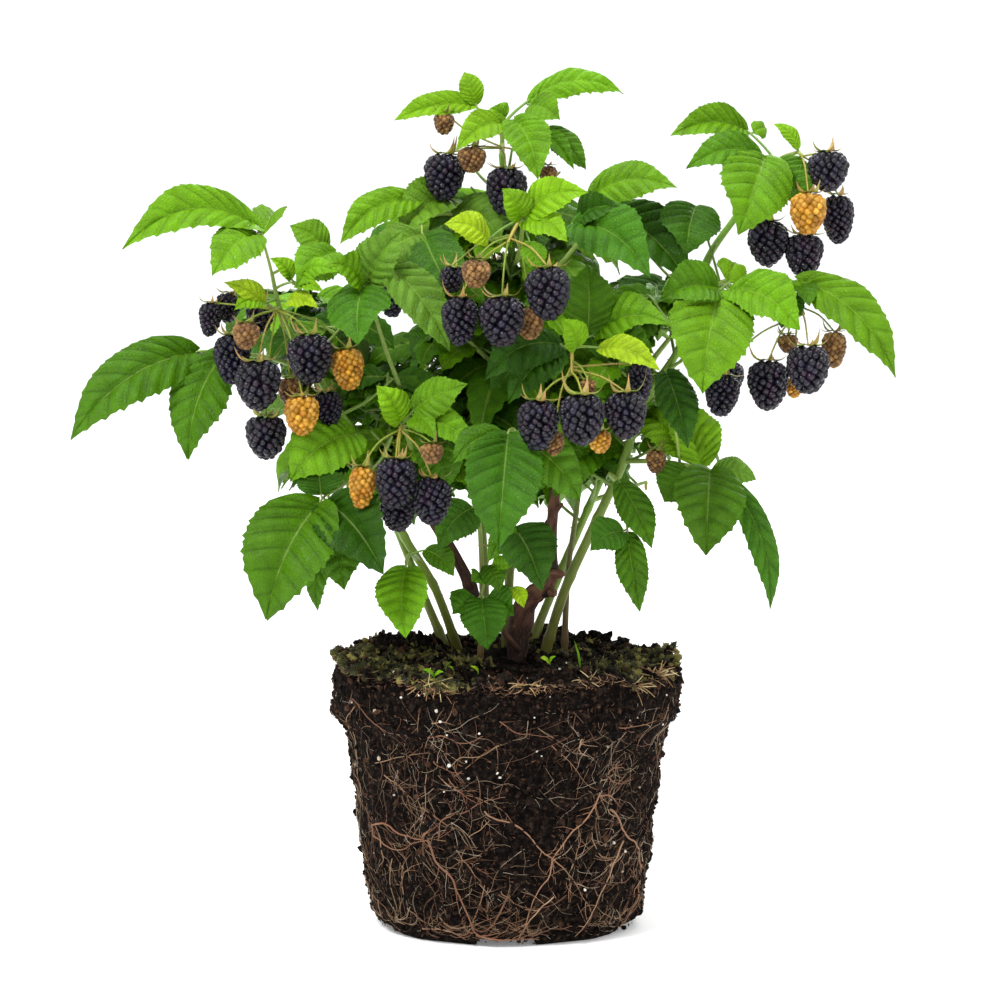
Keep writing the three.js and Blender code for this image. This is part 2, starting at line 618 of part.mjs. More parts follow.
// The leaves and fruit of a hidden shoot, by rule: more than it wants, since some of them won't fit
function ruleOf(plan, curve) {
  const random = stream(plan.seed);
  const between = ([low, high]) => low + (high - low) * random();
  const leaves = [];
  for (let i = 0; i < plan.leaves * RULE.tries; i++) {
    const share = ((i % plan.leaves) + 0.5) / plan.leaves;
    const from = curve.getPointAt(RULE.lowest + (1 - RULE.lowest) * share);
    const turn = plan.seed + i * GOLDEN_TURN + between(RULE.wander);
    const out = new THREE.Vector3(Math.cos(turn), Math.sin(turn), between(RULE.rise)).normalize();
    const joint = from.clone().addScaledVector(out, plan.petiole * between(RULE.petiole));
    const ahead = new THREE.Vector3(Math.cos(turn), Math.sin(turn), -between(RULE.droop)).normalize();
    const normal = new THREE.Vector3(0, 0, 1).addScaledVector(ahead, -ahead.z).normalize();
    const length = plan.leaflet * between(RULE.length);
    const blades = [0, 1, -1].slice(0, plan.leaflets ?? 3).map((hand) => {
      const heading = ahead.clone().applyAxisAngle(normal, hand * between(RULE.sideTurn));
      heading.z -= Math.abs(hand) * RULE.sideDrop;
      const long = length * (hand ? RULE.sideLength : 1);
      return { tip: joint.clone().addScaledVector(heading.normalize(), long), width: long * RULE.width };
    });
    const [left, right, low, high] = plan.reach;
    const inside = ({ tip }) => tip.x > left && tip.x < right && tip.z > low && tip.z < high;
    if (blades.every(inside)) leaves.push({ joint, blades });
  }
  const hub = curve.getPointAt(1);
  hub.z -= RULE.hubDrop;
  const fruit = [];
  for (let i = 0; i < (plan.fruit ?? 0) * RULE.tries; i++) {
    const turn = plan.seed * 2 + i * GOLDEN_TURN;
    const width = between(RULE.fruitWidth);
    const out = between(RULE.fruitOut);
    const middle = hub.clone();
    middle.x += out * Math.cos(turn);
    middle.y += out * Math.sin(turn);
    middle.z -= between(RULE.fruitDrop);
    fruit.push({ middle, width, length: width * RULE.fruitLength });
  }
  return { leaves, hub, fruit };
}

// The leaves and fruit of a shoot that shows from the front, from the elevation
function laidOut(plan) {
  return {
    leaves: plan.leaves.map(({ joint, blades }) => ({
      joint: place(joint),
      blades: blades.map(([across, up, depth, width]) => ({ tip: place([across, up, depth]), width })),
    })),
    hub: plan.hub && place(plan.hub),
    fruit: (plan.fruit ?? []).map(([across, up, depth, width, length]) => (
      { middle: place([across, up, depth]), width, length })),
  };
}

const shoots = new Map();
for (const [name, plan] of [...Object.entries(SHOOTS), ...Object.entries(HIDDEN_SHOOTS)]) {
  const { line, solid } = stemOf(plan);
  shoots.set(name, { line, plan });
  solids.set(name, solid);
}

// Whether any of the parts touches a cane, the root ball or another shoot
function touches(name, tests) {
  return [...solids].some(([other, solid]) => (
    other !== name && tests.some((test) => solid.intersect(test).volume() > 0)));
}

// The parts that a shoot takes on, in turn, until it has as many as it wants. One that touches another
// node is skipped, and on a hidden shoot so is one that crosses a part that is already there.
function grow(name, growths, wanted, hidden) {
  const taken = [];
  const spread = [];
  for (const { parts, tests } of growths) {
    if (taken.length === wanted) break;
    const crossed = hidden && tests.some((test) => (
      spread.some((other) => test.intersect(other).volume() > CROSSING)));
    if (crossed || touches(name, tests)) continue;
    taken.push(parts);
    spread.push(...tests);
  }
  return taken.flat();
}

for (const [name, { line, plan }] of shoots) {
  const hidden = plan.seed !== undefined;
  const { leaves, hub, fruit } = hidden ? ruleOf(plan, line.curve) : laidOut(plan);
  const pieces = [solids.get(name)];
  const compound = leaves.map(({ joint, blades }) => leafParts(line, joint, blades, hidden));
  pieces.push(...grow(name, compound, hidden ? plan.leaves : leaves.length, hidden));
  if (fruit.length) {
    const truss = trussParts(line, hub, fruit);
    pieces.push(...grow(name, truss, hidden ? plan.fruit + 1 : truss.length, hidden));
  }
  const bodies = pieces.reduce((sum, piece) => sum.add(piece)).decompose();
  const whole = bodies.sort((one, other) => other.volume() - one.volume())[0];
  solids.set(name, whole.asOriginal().simplify(SLIVER));
}

const COLOURS = {
  soil: new THREE.MeshStandardMaterial({ color: 0x2b2019, roughness: 0.95, metalness: 0 }),
  bark: new THREE.MeshStandardMaterial({ color: 0x5a4030, roughness: 0.85, metalness: 0 }),
  cane: new THREE.MeshStandardMaterial({ color: 0x7d9a4a, roughness: 0.6, metalness: 0 }),
  leaf: new THREE.MeshStandardMaterial({ color: 0x3f7f22, roughness: 0.55, metalness: 0 }),
};
const BARKED = ['stump', 'old_cane_cut', 'old_cane_left'];

function colourOf(name) {
  if (name === 'root_ball') return COLOURS.soil;
  if (BARKED.includes(name)) return COLOURS.bark;
  return canes.has(name) ? COLOURS.cane : COLOURS.leaf;
}

const bush = new THREE.Group();
for (const [name, solid] of solids) {
  const mesh = new THREE.Mesh(geometryOf(solid), colourOf(name));
  mesh.name = name;
  bush.add(mesh);
}
export default bush;
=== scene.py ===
import math

import bpy
import numpy as np
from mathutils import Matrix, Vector, noise


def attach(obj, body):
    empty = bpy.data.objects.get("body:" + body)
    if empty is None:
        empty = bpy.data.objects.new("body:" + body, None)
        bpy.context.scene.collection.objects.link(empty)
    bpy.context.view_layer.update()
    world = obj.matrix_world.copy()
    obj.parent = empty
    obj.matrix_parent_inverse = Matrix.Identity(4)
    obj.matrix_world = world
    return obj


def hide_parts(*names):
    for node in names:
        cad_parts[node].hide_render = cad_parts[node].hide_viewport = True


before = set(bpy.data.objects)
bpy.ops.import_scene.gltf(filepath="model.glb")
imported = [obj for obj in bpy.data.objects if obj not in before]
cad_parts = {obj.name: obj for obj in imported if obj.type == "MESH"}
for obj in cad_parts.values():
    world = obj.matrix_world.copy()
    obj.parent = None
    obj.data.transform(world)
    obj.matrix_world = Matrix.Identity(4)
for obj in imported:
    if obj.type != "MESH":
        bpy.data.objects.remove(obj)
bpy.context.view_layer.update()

# ---- Camera ----
# A long lens, a little over two and a half metres off, looks down on the bush by six and a half degrees.
# At that distance the frame takes in half a metre, so a thousand dots give half a millimetre each.
VIEW_TILT = math.radians(6.5)
TILT_SIN = math.sin(VIEW_TILT)
TILT_COS = math.cos(VIEW_TILT)
VIEW_AWAY = 2.6
VIEW_WIDTH = 0.5
AIM_ACROSS = -0.0035
AIM_HEIGHT = 0.213
SHIFT_ACROSS = 0.0005
SHIFT_UP = 0.001
FILM_WIDTH = 36
eye = np.array([AIM_ACROSS, -VIEW_AWAY * TILT_COS, AIM_HEIGHT + VIEW_AWAY * TILT_SIN])
lens = bpy.data.cameras.new("camera")
lens.sensor_width = FILM_WIDTH
lens.lens = FILM_WIDTH * VIEW_AWAY / VIEW_WIDTH
camera = bpy.data.objects.new("camera", lens)
camera.location = eye + (SHIFT_ACROSS, SHIFT_UP * TILT_SIN, SHIFT_UP * TILT_COS)
camera.rotation_euler = (math.radians(90) - VIEW_TILT, 0, 0)
bpy.context.collection.objects.link(camera)
bpy.context.scene.camera = camera
bpy.context.scene.view_settings.view_transform = "Standard"

# ---- Studio ----
# A pale floor that turns up all round into a pale wall, without an edge between them. Broad soft lamps hang
# over it: the strongest up to the left in front, a weaker one to the right, one above and one behind.
BOWL_FLAT = 3.0
BOWL_BEND = 2.5
BOWL_TOP = 4.5
BOWL_SIDES = 96
LAMP_AIM = Vector((0, 0, 0.22))
LAMPS = {
    "lamp_key": ((-1.2, -1.3, 2.3), 0.8, 62),
    "lamp_fill": ((1.7, -1.5, 1.0), 1.4, 9),
    "lamp_top": ((0.3, 0.1, 2.3), 1.0, 26),
    "lamp_back": ((0.7, 2.0, 1.6), 1.2, 20),
}


def set_inputs(tree, node, inputs):
    """Gives each of these inputs of a node its value, or links it to the socket that is given for it."""
    for socket, value in inputs.items():
        if isinstance(value, bpy.types.NodeSocket):
            tree.links.new(value, node.inputs[socket])
        else:
            node.inputs[socket].default_value = value


def new_material(name, roughness, specular):
    """A plain material, with its node tree and its shader."""
    made = bpy.data.materials.new(name)
    made.use_nodes = True
    shader = made.node_tree.nodes["Principled BSDF"]
    set_inputs(made.node_tree, shader, {"Roughness": roughness, "Specular IOR Level": specular})
    return made, made.node_tree, shader


bend = np.linspace(0, math.pi / 2, 24)
curve = [(BOWL_FLAT + BOWL_BEND * math.sin(a), BOWL_BEND * (1 - math.cos(a))) for a in bend]
profile = [(0.5, 0), (1.5, 0)] + curve + [(BOWL_FLAT + BOWL_BEND, BOWL_TOP)]
bowl_turns = np.linspace(0, 2 * math.pi, BOWL_SIDES, endpoint=False)
points = [(out * math.cos(a), out * math.sin(a), up) for out, up in profile for a in bowl_turns]
faces = [tuple(range(BOWL_SIDES))]
for row in range(len(profile) - 1):
    for j in range(BOWL_SIDES):
        a, b = row * BOWL_SIDES + j, row * BOWL_SIDES + (j + 1) % BOWL_SIDES
        faces.append((a, a + BOWL_SIDES, b + BOWL_SIDES, b))
mesh = bpy.data.meshes.new("studio_floor")
mesh.from_pydata(points, [], faces)
mesh.polygons.foreach_set("use_smooth", [True] * len(mesh.polygons))
studio = bpy.data.objects.new("studio_floor", mesh)
bpy.context.collection.objects.link(studio)
paper, tree, shader = new_material("studio_paper", 0.9, 0.1)
set_inputs(tree, shader, {
    "Base Color": (0.92, 0.92, 0.92, 1), "Emission Color": (1, 1, 1, 1), "Emission Strength": 0.16})
mesh.materials.append(paper)

air = bpy.data.worlds.new("studio_air")
air.use_nodes = True
set_inputs(air.node_tree, air.node_tree.nodes["Background"], {"Color": (1, 1, 1, 1), "Strength": 0.75})
bpy.context.scene.world = air

for name, (place_at, size, power) in LAMPS.items():
    lamp = bpy.data.lights.new(name, "AREA")
    lamp.size = size
    lamp.energy = power
    holder = bpy.data.objects.new(name, lamp)
    holder.location = place_at
    holder.rotation_euler = (LAMP_AIM - Vector(place_at)).to_track_quat("-Z", "Y").to_euler()
    bpy.context.collection.objects.link(holder)

# ---- Soil of the root ball ----
# Dark crumbly potting peat that keeps the shape of a two litre pot: it narrows downwards from a lip round its
# top, and five notches under its edge are left by the pot's feet. Its top is uneven.
MM = 0.001
FOOT = 0.066
SOIL_TOP = 0.131
TOP_OUT = 0.084
LIP_FROM = 0.122
LIP_TURN = 0.009
LIP_INSET = 0.97
BALL_TURNS = 300
SIDE_ROWS = 105
TOP_ROWS = 52
FOOT_ROWS = 16
NOTCHES = 5
NOTCH_HALF = 0.0142
NOTCH_HEIGHT = 0.0042
NOTCH_DEPTH = 0.02
SIDE_HEIGHTS = [0, 0.0022, 0.007, 0.034, 0.066, 0.1, 0.1035, 0.107, 0.125, 0.131]
SIDE_RADII = [0.0612, 0.0648, 0.0669, 0.0721, 0.075, 0.0802, 0.0825, 0.0862, 0.0872, 0.0858]
PEAT_COLOURS = [
    (0.36, (0.0009, 0.0007, 0.0006)), (0.48, (0.003, 0.0021, 0.0017)), (0.57, (0.012, 0.0078, 0.0056)),
    (0.68, (0.05, 0.032, 0.022)),
]


def crumble(x, y, z):
    """How far the soil's face stands out at this point: broad swells, then lumps, then crumbs."""
    here = Vector((x, y, z))
    swell = noise.noise(here * 38) * 0.9 + noise.noise(here * 95) * 0.9
    lumps = 0.55 - noise.voronoi(here * 210)[0][0]
    crumbs = 0.5 - noise.voronoi(here * 430)[0][0]
    return (swell + 1.5 * lumps + 1.1 * crumbs) * MM


def spot_at(angle, out):
    """The place at this angle and this far out from the ball's middle."""
    return out * math.cos(angle), out * math.sin(angle)


def side_point(angle, z):
    """The point on the side of the soil at this angle and height."""
    out = np.interp(z, SIDE_HEIGHTS, SIDE_RADII)
    out += 0.45 * MM * (math.sin(7 * angle + z * 210) + math.sin(13 * angle - z * 370))
    ease = min(1, 0.25 + z / 0.004)
    out += crumble(*spot_at(angle, out), z) * ease
    return *spot_at(angle, out), z


def top_height(x, y):
    """The height of the soil's top here, with a low bank round its rim and a mound under the canes."""
    angle, out = math.atan2(y, x), math.hypot(x, y)
    share = min(1, out / TOP_OUT)
    bank = (1.6 * math.sin(5 * angle + 1) + 1.1 * math.sin(11 * angle)) * share
    bank += 3 * max(0, math.sin(angle)) * share**2
    bank += 3.4 * share**3 * noise.noise(Vector((math.cos(angle) * 2.6, math.sin(angle) * 2.6, 7)))
    bank += 6 * share**3 * max(0, -math.cos(angle)) ** 8
    mound = 2.5 * math.exp(-((out / 0.04) ** 2)) + 4.4 * noise.noise(Vector((x * 36, y * 36, 4)))
    mound += 3.4 * noise.noise(Vector((x * 90, y * 90, 9)))
    return SOIL_TOP + (bank + mound) * MM + 1.3 * crumble(x, y, 0.2)


ball_turns = np.linspace(0, 2 * math.pi, BALL_TURNS, endpoint=False)
rings = []
for i in range(FOOT_ROWS):
    out = FOOT * 0.95 * (0.12 + 0.88 * (i / FOOT_ROWS) ** 0.7)
    rings.append([(*spot_at(a, out), 0) for a in ball_turns])
for z in np.linspace(0, SOIL_TOP, SIDE_ROWS):
    ring = []
    for a in ball_turns:
        x, y, up = side_point(a, z)
        if z > LIP_FROM:
            rim_rise = top_height(x * LIP_INSET, y * LIP_INSET) - SOIL_TOP
            up += rim_rise * (z - LIP_FROM) / LIP_TURN
            inward = 1 - 0.03 * ((z - LIP_FROM) / LIP_TURN) ** 2
            x, y = x * inward, y * inward
        ring.append((x, y, up))
    rings.append(ring)
rim = rings[-1]
for i in range(1, TOP_ROWS):
    share = 0.965 * (1 - i / TOP_ROWS)
    rings.append([(x * share, y * share, top_height(x * share, y * share)) for x, y, _ in rim])
points = np.array(rings)
turn = np.arctan2(points[..., 1], points[..., 0])
out = np.hypot(points[..., 0], points[..., 1])
for k in range(NOTCHES):
    middle = -math.pi / 2 + k * 2 * math.pi / NOTCHES
    across = out * np.sin(turn - middle)
    deep = out * np.cos(turn - middle)
    inside = (np.abs(across) < NOTCH_HALF) & (deep > FOOT - NOTCH_DEPTH) & (points[..., 2] < NOTCH_HEIGHT)
    points[..., 2][inside] = NOTCH_HEIGHT
points = points.reshape(-1, 3)
column = np.arange(BALL_TURNS)
last_ring = (len(rings) - 1) * BALL_TURNS
faces = []
for start in range(0, last_ring, BALL_TURNS):
    a, b = start + column, start + (column + 1) % BALL_TURNS
    faces += np.stack([a, b, b + BALL_TURNS, a + BALL_TURNS], 1).tolist()
faces += [column[::-1].tolist(), (last_ring + column).tolist()]
mesh = bpy.data.meshes.new("soil")
mesh.from_pydata(points.tolist(), [], faces)
mesh.polygons.foreach_set("use_smooth", [True] * len(mesh.polygons))
soil = bpy.data.objects.new("soil", mesh)
bpy.context.collection.objects.link(soil)


def add_node(tree, kind, inputs, **settings):
    """A new shader node with these settings and inputs, as its outputs."""
    node = tree.nodes.new("ShaderNode" + kind)
    for key, value in settings.items():
        setattr(node, key, value)
    set_inputs(tree, node, inputs)
    return node.outputs


def noise_at(tree, place, scale, detail, rough):
    """A noise that reads this place."""
    inputs = {"Vector": place, "Scale": scale, "Detail": detail, "Roughness": rough}
    return add_node(tree, "TexNoise", inputs)["Fac"]


def bump_from(tree, shader, height, strength, distance):
    """A fine relief under the shader's normal."""
    relief = add_node(tree, "Bump", {"Height": height, "Strength": strength, "Distance": distance})
    set_inputs(tree, shader, {"Normal": relief["Normal"]})


peat, tree, shader = new_material("peat", 0.95, 0.05)
place = add_node(tree, "TexCoord", {})["Object"]
ramp = tree.nodes.new("ShaderNodeValToRGB")
set_inputs(tree, ramp, {"Fac": noise_at(tree, place, 330, 6, 0.75)})
for _ in PEAT_COLOURS[2:]:
    ramp.color_ramp.elements.new(0.5)
for element, (at, colour) in zip(ramp.color_ramp.elements, PEAT_COLOURS):
    element.position = at
    element.color = (*colour, 1)
set_inputs(tree, shader, {"Base Color": ramp.outputs["Color"]})
bump_from(tree, shader, noise_at(tree, place, 900, 6, 0.7), 0.8, 0.0012)
mesh.materials.append(peat)
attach(soil, "root")
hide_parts("root_ball")

# ---- Crumbs ----
# Loose crumbs of peat and bark cling to the ball all over, thickest on its top and rim. Here and there a few
# of them have stuck together as a clod.
CRUMBS_ON_SIDE = 5200
CRUMBS_ON_TOP = 2600
CLODS = 70
CRUMBS_IN_CLOD = 9
CRUMB_COLOURS = [
    (8, 6, 5), (14, 10, 8), (26, 18, 14), (40, 28, 21), (22, 20, 15), (62, 43, 32), (11, 8, 7), (32, 23, 18),
]
rng = np.random.default_rng(7)


def linear(red, green, blue):
    """A colour as seen, 0 to 255, as the renderer counts it."""
    seen = (red, green, blue)
    return tuple(((v / 255 + 0.055) / 1.055) ** 2.4 if v > 10 else v / 255 / 12.92 for v in seen)


def joined(name, parts, material, smooth=True):
    """One mesh from parts, each of points, faces and one value or colour for each point by attribute name."""
    points = np.concatenate([part[0] for part in parts])
    corners, sizes, start = [], [], 0
    for part_points, part_faces, _ in parts:
        corners.append((part_faces + start).ravel())
        sizes.append(np.full(len(part_faces), part_faces.shape[1]))
        start += len(part_points)
    corners, sizes = np.concatenate(corners), np.concatenate(sizes)
    mesh = bpy.data.meshes.new(name)
    mesh.vertices.add(len(points))
    mesh.vertices.foreach_set("co", points.astype(np.float32).ravel())
    mesh.loops.add(len(corners))
    mesh.loops.foreach_set("vertex_index", corners.astype(np.int32))
    mesh.polygons.add(len(sizes))
    mesh.polygons.foreach_set("loop_start", np.concatenate([[0], np.cumsum(sizes)[:-1]]).astype(np.int32))
    layers = {1: ("FLOAT", "value"), 3: ("FLOAT_VECTOR", "vector"), 4: ("FLOAT_COLOR", "color")}
    for key in parts[0][2]:
        values = np.concatenate([part[2][key] for part in parts])
        if key == "tint":
            values = np.hstack([values, np.ones((len(values), 1))])
        kind, field = layers[values.shape[1]]
        layer = mesh.attributes.new(key, kind, "POINT")
        layer.data.foreach_set(field, values.astype(np.float32).ravel())
    mesh.update(calc_edges=True)
    mesh.validate()
    mesh.polygons.foreach_set("use_smooth", [smooth] * len(mesh.polygons))
    mesh.materials.append(material)
    piece = bpy.data.objects.new(name, mesh)
    bpy.context.collection.objects.link(piece)
    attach(piece, "root")
    return piece


def ball_shape(subdivisions):
    """The points and faces of a round lump with about equal triangles."""
    bpy.ops.object.select_all(action="DESELECT")
    bpy.ops.mesh.primitive_ico_sphere_add(subdivisions=subdivisions, radius=1)
    lump = bpy.context.object
    points = np.array([v.co[:] for v in lump.data.vertices])
    faces = np.array([p.vertices[:] for p in lump.data.polygons])
    spare = lump.data
    bpy.data.objects.remove(lump)
    bpy.data.meshes.remove(spare)
    return points, faces


def copied_faces(faces, count, points_each):
    """The faces of one small shape, repeated for each of its copies."""
    return (faces[None] + (np.arange(count) * points_each)[:, None, None]).reshape(-1, 3)


def lumps_at(shape, centres, sizes, stretch, tints):
    """Copies of a lump, each turned and knocked out of round in its own way."""
    points, faces = shape
    count = len(centres)
    turned = rng.normal(size=(count, 3, 3))
    turned = np.linalg.qr(turned)[0]
    turned *= np.sign(np.linalg.det(turned))[:, None, None]
    knocked = points[None] * (1 + rng.uniform(-0.28, 0.28, (count, len(points), 1)))
    knocked = knocked * (1 + rng.uniform(-stretch, stretch, (count, 1, 3)))
    knocked = np.einsum("nij,npj->npi", turned, knocked) * np.asarray(sizes)[:, None, None]
    placed = (knocked + np.asarray(centres)[:, None, :]).reshape(-1, 3)
    tint = np.repeat(np.asarray(tints), len(points), axis=0)
    return placed, copied_faces(faces, count, len(points)), {"tint": tint}


def tints_from(palette, count, spread):
    """Colours picked at random from a few, each a little lighter or darker."""
    picked = np.array([linear(*colour) for colour in palette])[rng.integers(0, len(palette), count)]
    return picked * rng.uniform(1 - spread, 1 + spread, (count, 1))


def shared_effect(name, inputs, outputs):
    """An empty shader node group with named sockets, and its sockets on the inside."""
    group = bpy.data.node_groups.new(name, "ShaderNodeTree")
    for way, sockets in (("INPUT", inputs), ("OUTPUT", outputs)):
        for socket, kind in sockets.items():
            group.interface.new_socket(socket, in_out=way, socket_type="NodeSocket" + kind)
    return group, group.nodes.new("NodeGroupInput").outputs, group.nodes.new("NodeGroupOutput")


def surface_value(tree, name, output):
    """What the piece's own mesh holds at each point under this name."""
    return add_node(tree, "Attribute", {}, attribute_name=name)[output]


def mapped(tree, value, low, high, at_low, at_high):
    """A value moved from one range to another."""
    inputs = {"Value": value, "From Min": low, "From Max": high, "To Min": at_low, "To Max": at_high}
    return add_node(tree, "MapRange", inputs)["Result"]


def shaded(tree, colour, amount):
    """A colour made darker or lighter by this amount."""
    return add_node(tree, "VectorMath", {0: colour, "Scale": amount}, operation="SCALE")["Vector"]


# The mottling of every crumb, root, stalk, leaf and fruit is one effect, each with its own scale and depth.
fine_grain, given, put_out = shared_effect(
    "fine_grain",
    {"Tint": "Color", "Place": "Vector", "Scale": "Float", "Darkest": "Float", "Lightest": "Float"},
    {"Color": "Color", "Height": "Float"})
grain = noise_at(fine_grain, given["Place"], given["Scale"], 4, 0.6)
mottle = mapped(fine_grain, grain, 0.3, 0.7, given["Darkest"], given["Lightest"])
set_inputs(fine_grain, put_out, {"Color": shaded(fine_grain, given["Tint"], mottle), "Height": grain})


def grained_tint(tree, scale, darkest, lightest):
    """The piece's own tint, mottled by the fine grain: its colour and its height."""
    inputs = {
        "Tint": surface_value(tree, "tint", "Color"), "Place": add_node(tree, "TexCoord", {})["Object"],
        "Scale": scale, "Darkest": darkest, "Lightest": lightest}
    grained = add_node(tree, "Group", inputs, node_tree=fine_grain)
    return grained["Color"], grained["Height"]


def tinted_material(name, roughness, specular, grain_scale, grain_depth, relief=0.0004):
    """A material that takes each point's tint, mottled by the fine grain."""
    made, tree, shader = new_material(name, roughness, specular)
    colour, height = grained_tint(tree, grain_scale, 1 - grain_depth, 1 + grain_depth)
    set_inputs(tree, shader, {"Base Color": colour})
    bump_from(tree, shader, height, 0.5, relief)
    return made


low_shape = ball_shape(1)
centres, sizes = [], []
for _ in range(CRUMBS_ON_SIDE):
    angle, z = rng.uniform(0, 2 * math.pi), SOIL_TOP * (0.015 + 0.985 * rng.random() ** 0.85)
    centres.append(side_point(angle, z))
    sizes.append((rng.uniform(0.35, 1.1) + 0.8 * (rng.random() > 0.88)) * MM)
for _ in range(CRUMBS_ON_TOP):
    x, y = spot_at(rng.uniform(0, 2 * math.pi), TOP_OUT * math.sqrt(rng.uniform(0.01, 1)))
    centres.append((x, y, top_height(x, y)))
    sizes.append((rng.uniform(0.6, 1.7) + 1.4 * (rng.random() > 0.94)) * MM)
for _ in range(CLODS):
    behind = rng.random() < 0.6
    angle = rng.uniform(0.1, math.pi - 0.1) if behind else rng.uniform(0, 2 * math.pi)
    x, y = spot_at(angle, rng.uniform(0.05, 0.083))
    for _ in range(CRUMBS_IN_CLOD):
        dx, dy = rng.normal(0, 1.8 * MM, 2)
        centres.append((x + dx, y + dy, top_height(x, y) + rng.uniform(0, 3.4) * MM))
        sizes.append(rng.uniform(0.9, 2.1) * MM)
loam = tinted_material("loam_crumbs", 0.8, 0.08, 700, 0.5)
lumps = lumps_at(low_shape, centres, sizes, 0.62, tints_from(CRUMB_COLOURS, len(centres), 0.3))
lumps[0][:, 2] = np.maximum(lumps[0][:, 2], 0)
crumbs = joined("soil_crumbs", [lumps], loam, smooth=False)

# ---- Shreds of bark and peat fibre ----
# Flat torn shreds of bark and matted fibre, a few millimetres long, lie pressed into the ball's side and over
# its rim.
SHREDS = 5200
SHRED_COLOURS = [
    (12, 9, 7), (26, 18, 13), (40, 27, 20), (58, 39, 28), (16, 12, 9), (78, 54, 39), (30, 21, 16)]
SHRED_FACES = np.array([
    (0, 2, 1), (1, 2, 3), (2, 4, 3), (0, 5, 2), (2, 5, 4), (4, 5, 3), (3, 5, 1), (1, 5, 0)])
shred_tints = tints_from(SHRED_COLOURS, SHREDS, 0.3)
shred_points = []
for _ in range(SHREDS):
    angle, z = rng.uniform(0, 2 * math.pi), SOIL_TOP * (0.004 + 0.996 * rng.random() ** 0.8)
    foot = np.array(side_point(angle, z))
    outward = np.array([math.cos(angle), math.sin(angle), 0.0])
    spin = rng.normal(0, 0.8)
    ahead = np.array([-math.sin(angle) * math.cos(spin), math.cos(angle) * math.cos(spin), math.sin(spin)])
    ahead = ahead + outward * rng.uniform(-0.35, 0.5)
    side = np.cross(outward, ahead)
    long, wide = rng.uniform(0.8, 3.2) * MM, rng.uniform(0.12, 0.45) * MM
    foot = foot + outward * rng.uniform(0.0, 0.5) * MM
    bend = outward * rng.uniform(0.0, 0.35) * long
    thick = outward * 0.12 * MM
    tail = foot - ahead * long / 2
    shred_points += [
        tail - side * wide * 0.4, tail + side * wide * 0.5, foot + bend - side * wide,
        foot + bend + side * wide, foot + ahead * long / 2, foot + bend * 0.4 - thick,
    ]
shred_points = np.array(shred_points)
shred_points[:, 2] = np.maximum(shred_points[:, 2], 0)
shreds = (shred_points, copied_faces(SHRED_FACES, SHREDS, 6), {"tint": np.repeat(shred_tints, 6, axis=0)})
bark_shreds = joined("bark_shreds", [shreds], loam, smooth=False)

# ---- Perlite ----
# White grains of puffed volcanic glass, which growers mix into their peat, show all over the ball. They lie
# half sunk in its side and loose on its top.
PERLITE = 120
PERLITE_COLOURS = [(225, 220, 210), (205, 198, 186), (190, 176, 150)]
centres = []
for i in range(PERLITE):
    angle = rng.uniform(0, 2 * math.pi)
    if i % 4:
        x, y, z = side_point(angle, SOIL_TOP * (0.1 + 0.9 * rng.random() ** 0.55))
    else:
        x, y = spot_at(angle, TOP_OUT * math.sqrt(rng.uniform(0.02, 1)))
        z = top_height(x, y) + 0.6 * MM
    centres.append((x * 1.005, y * 1.005, z))
grit = tinted_material("perlite", 0.8, 0.3, 900, 0.08)
lumps = lumps_at(low_shape, centres, rng.uniform(0.35, 1.0, PERLITE) * MM, 0.25,
                 tints_from(PERLITE_COLOURS, PERLITE, 0.08))
perlite = joined("perlite", [lumps], grit)

# ---- Roots on the side of the ball ----
# Live roots that ran along the pot's wall: a few thick ones that meet low down in front, many thinner ones
# that branch and cross all round, and a felt of hair roots. They are woody, tan where thick and paler where
# young.
ELEVATION_MIDDLE = 0.22
SIDE_OUT = 0.076
FRONT_OUT = 0.075
ROOT_KINDS = {
    "woody": (150, 20, 2.2, (0.16, 0.34), 4, 0.14, 0.5, 3,
              [(100, 70, 52), (122, 92, 68), (146, 118, 90), (84, 58, 42)]),
    "fine": (600, 14, 1.8, (0.09, 0.17), 3, 0.2, 0.7, 0,
             [(118, 92, 70), (150, 126, 98), (182, 166, 142), (88, 62, 46)]),
    "hair": (1500, 4, 1.1, (0.055, 0.11), 3, 0.3, 0.9, 0,
             [(104, 78, 58), (146, 122, 96), (190, 178, 158), (72, 50, 38)]),
}
FRONT_COLOURS = [(124, 86, 64), (142, 106, 80), (158, 126, 98)]
TANGLE_COLOURS = [(150, 130, 106), (182, 168, 148)]
TANGLES = [
    (-40, 92, 20, 18), (-26, 68, 18, 18), (46, 92, 18, 14), (40, 58, 20, 14), (-12, 42, 22, 12),
    (10, 74, 20, 8),
]
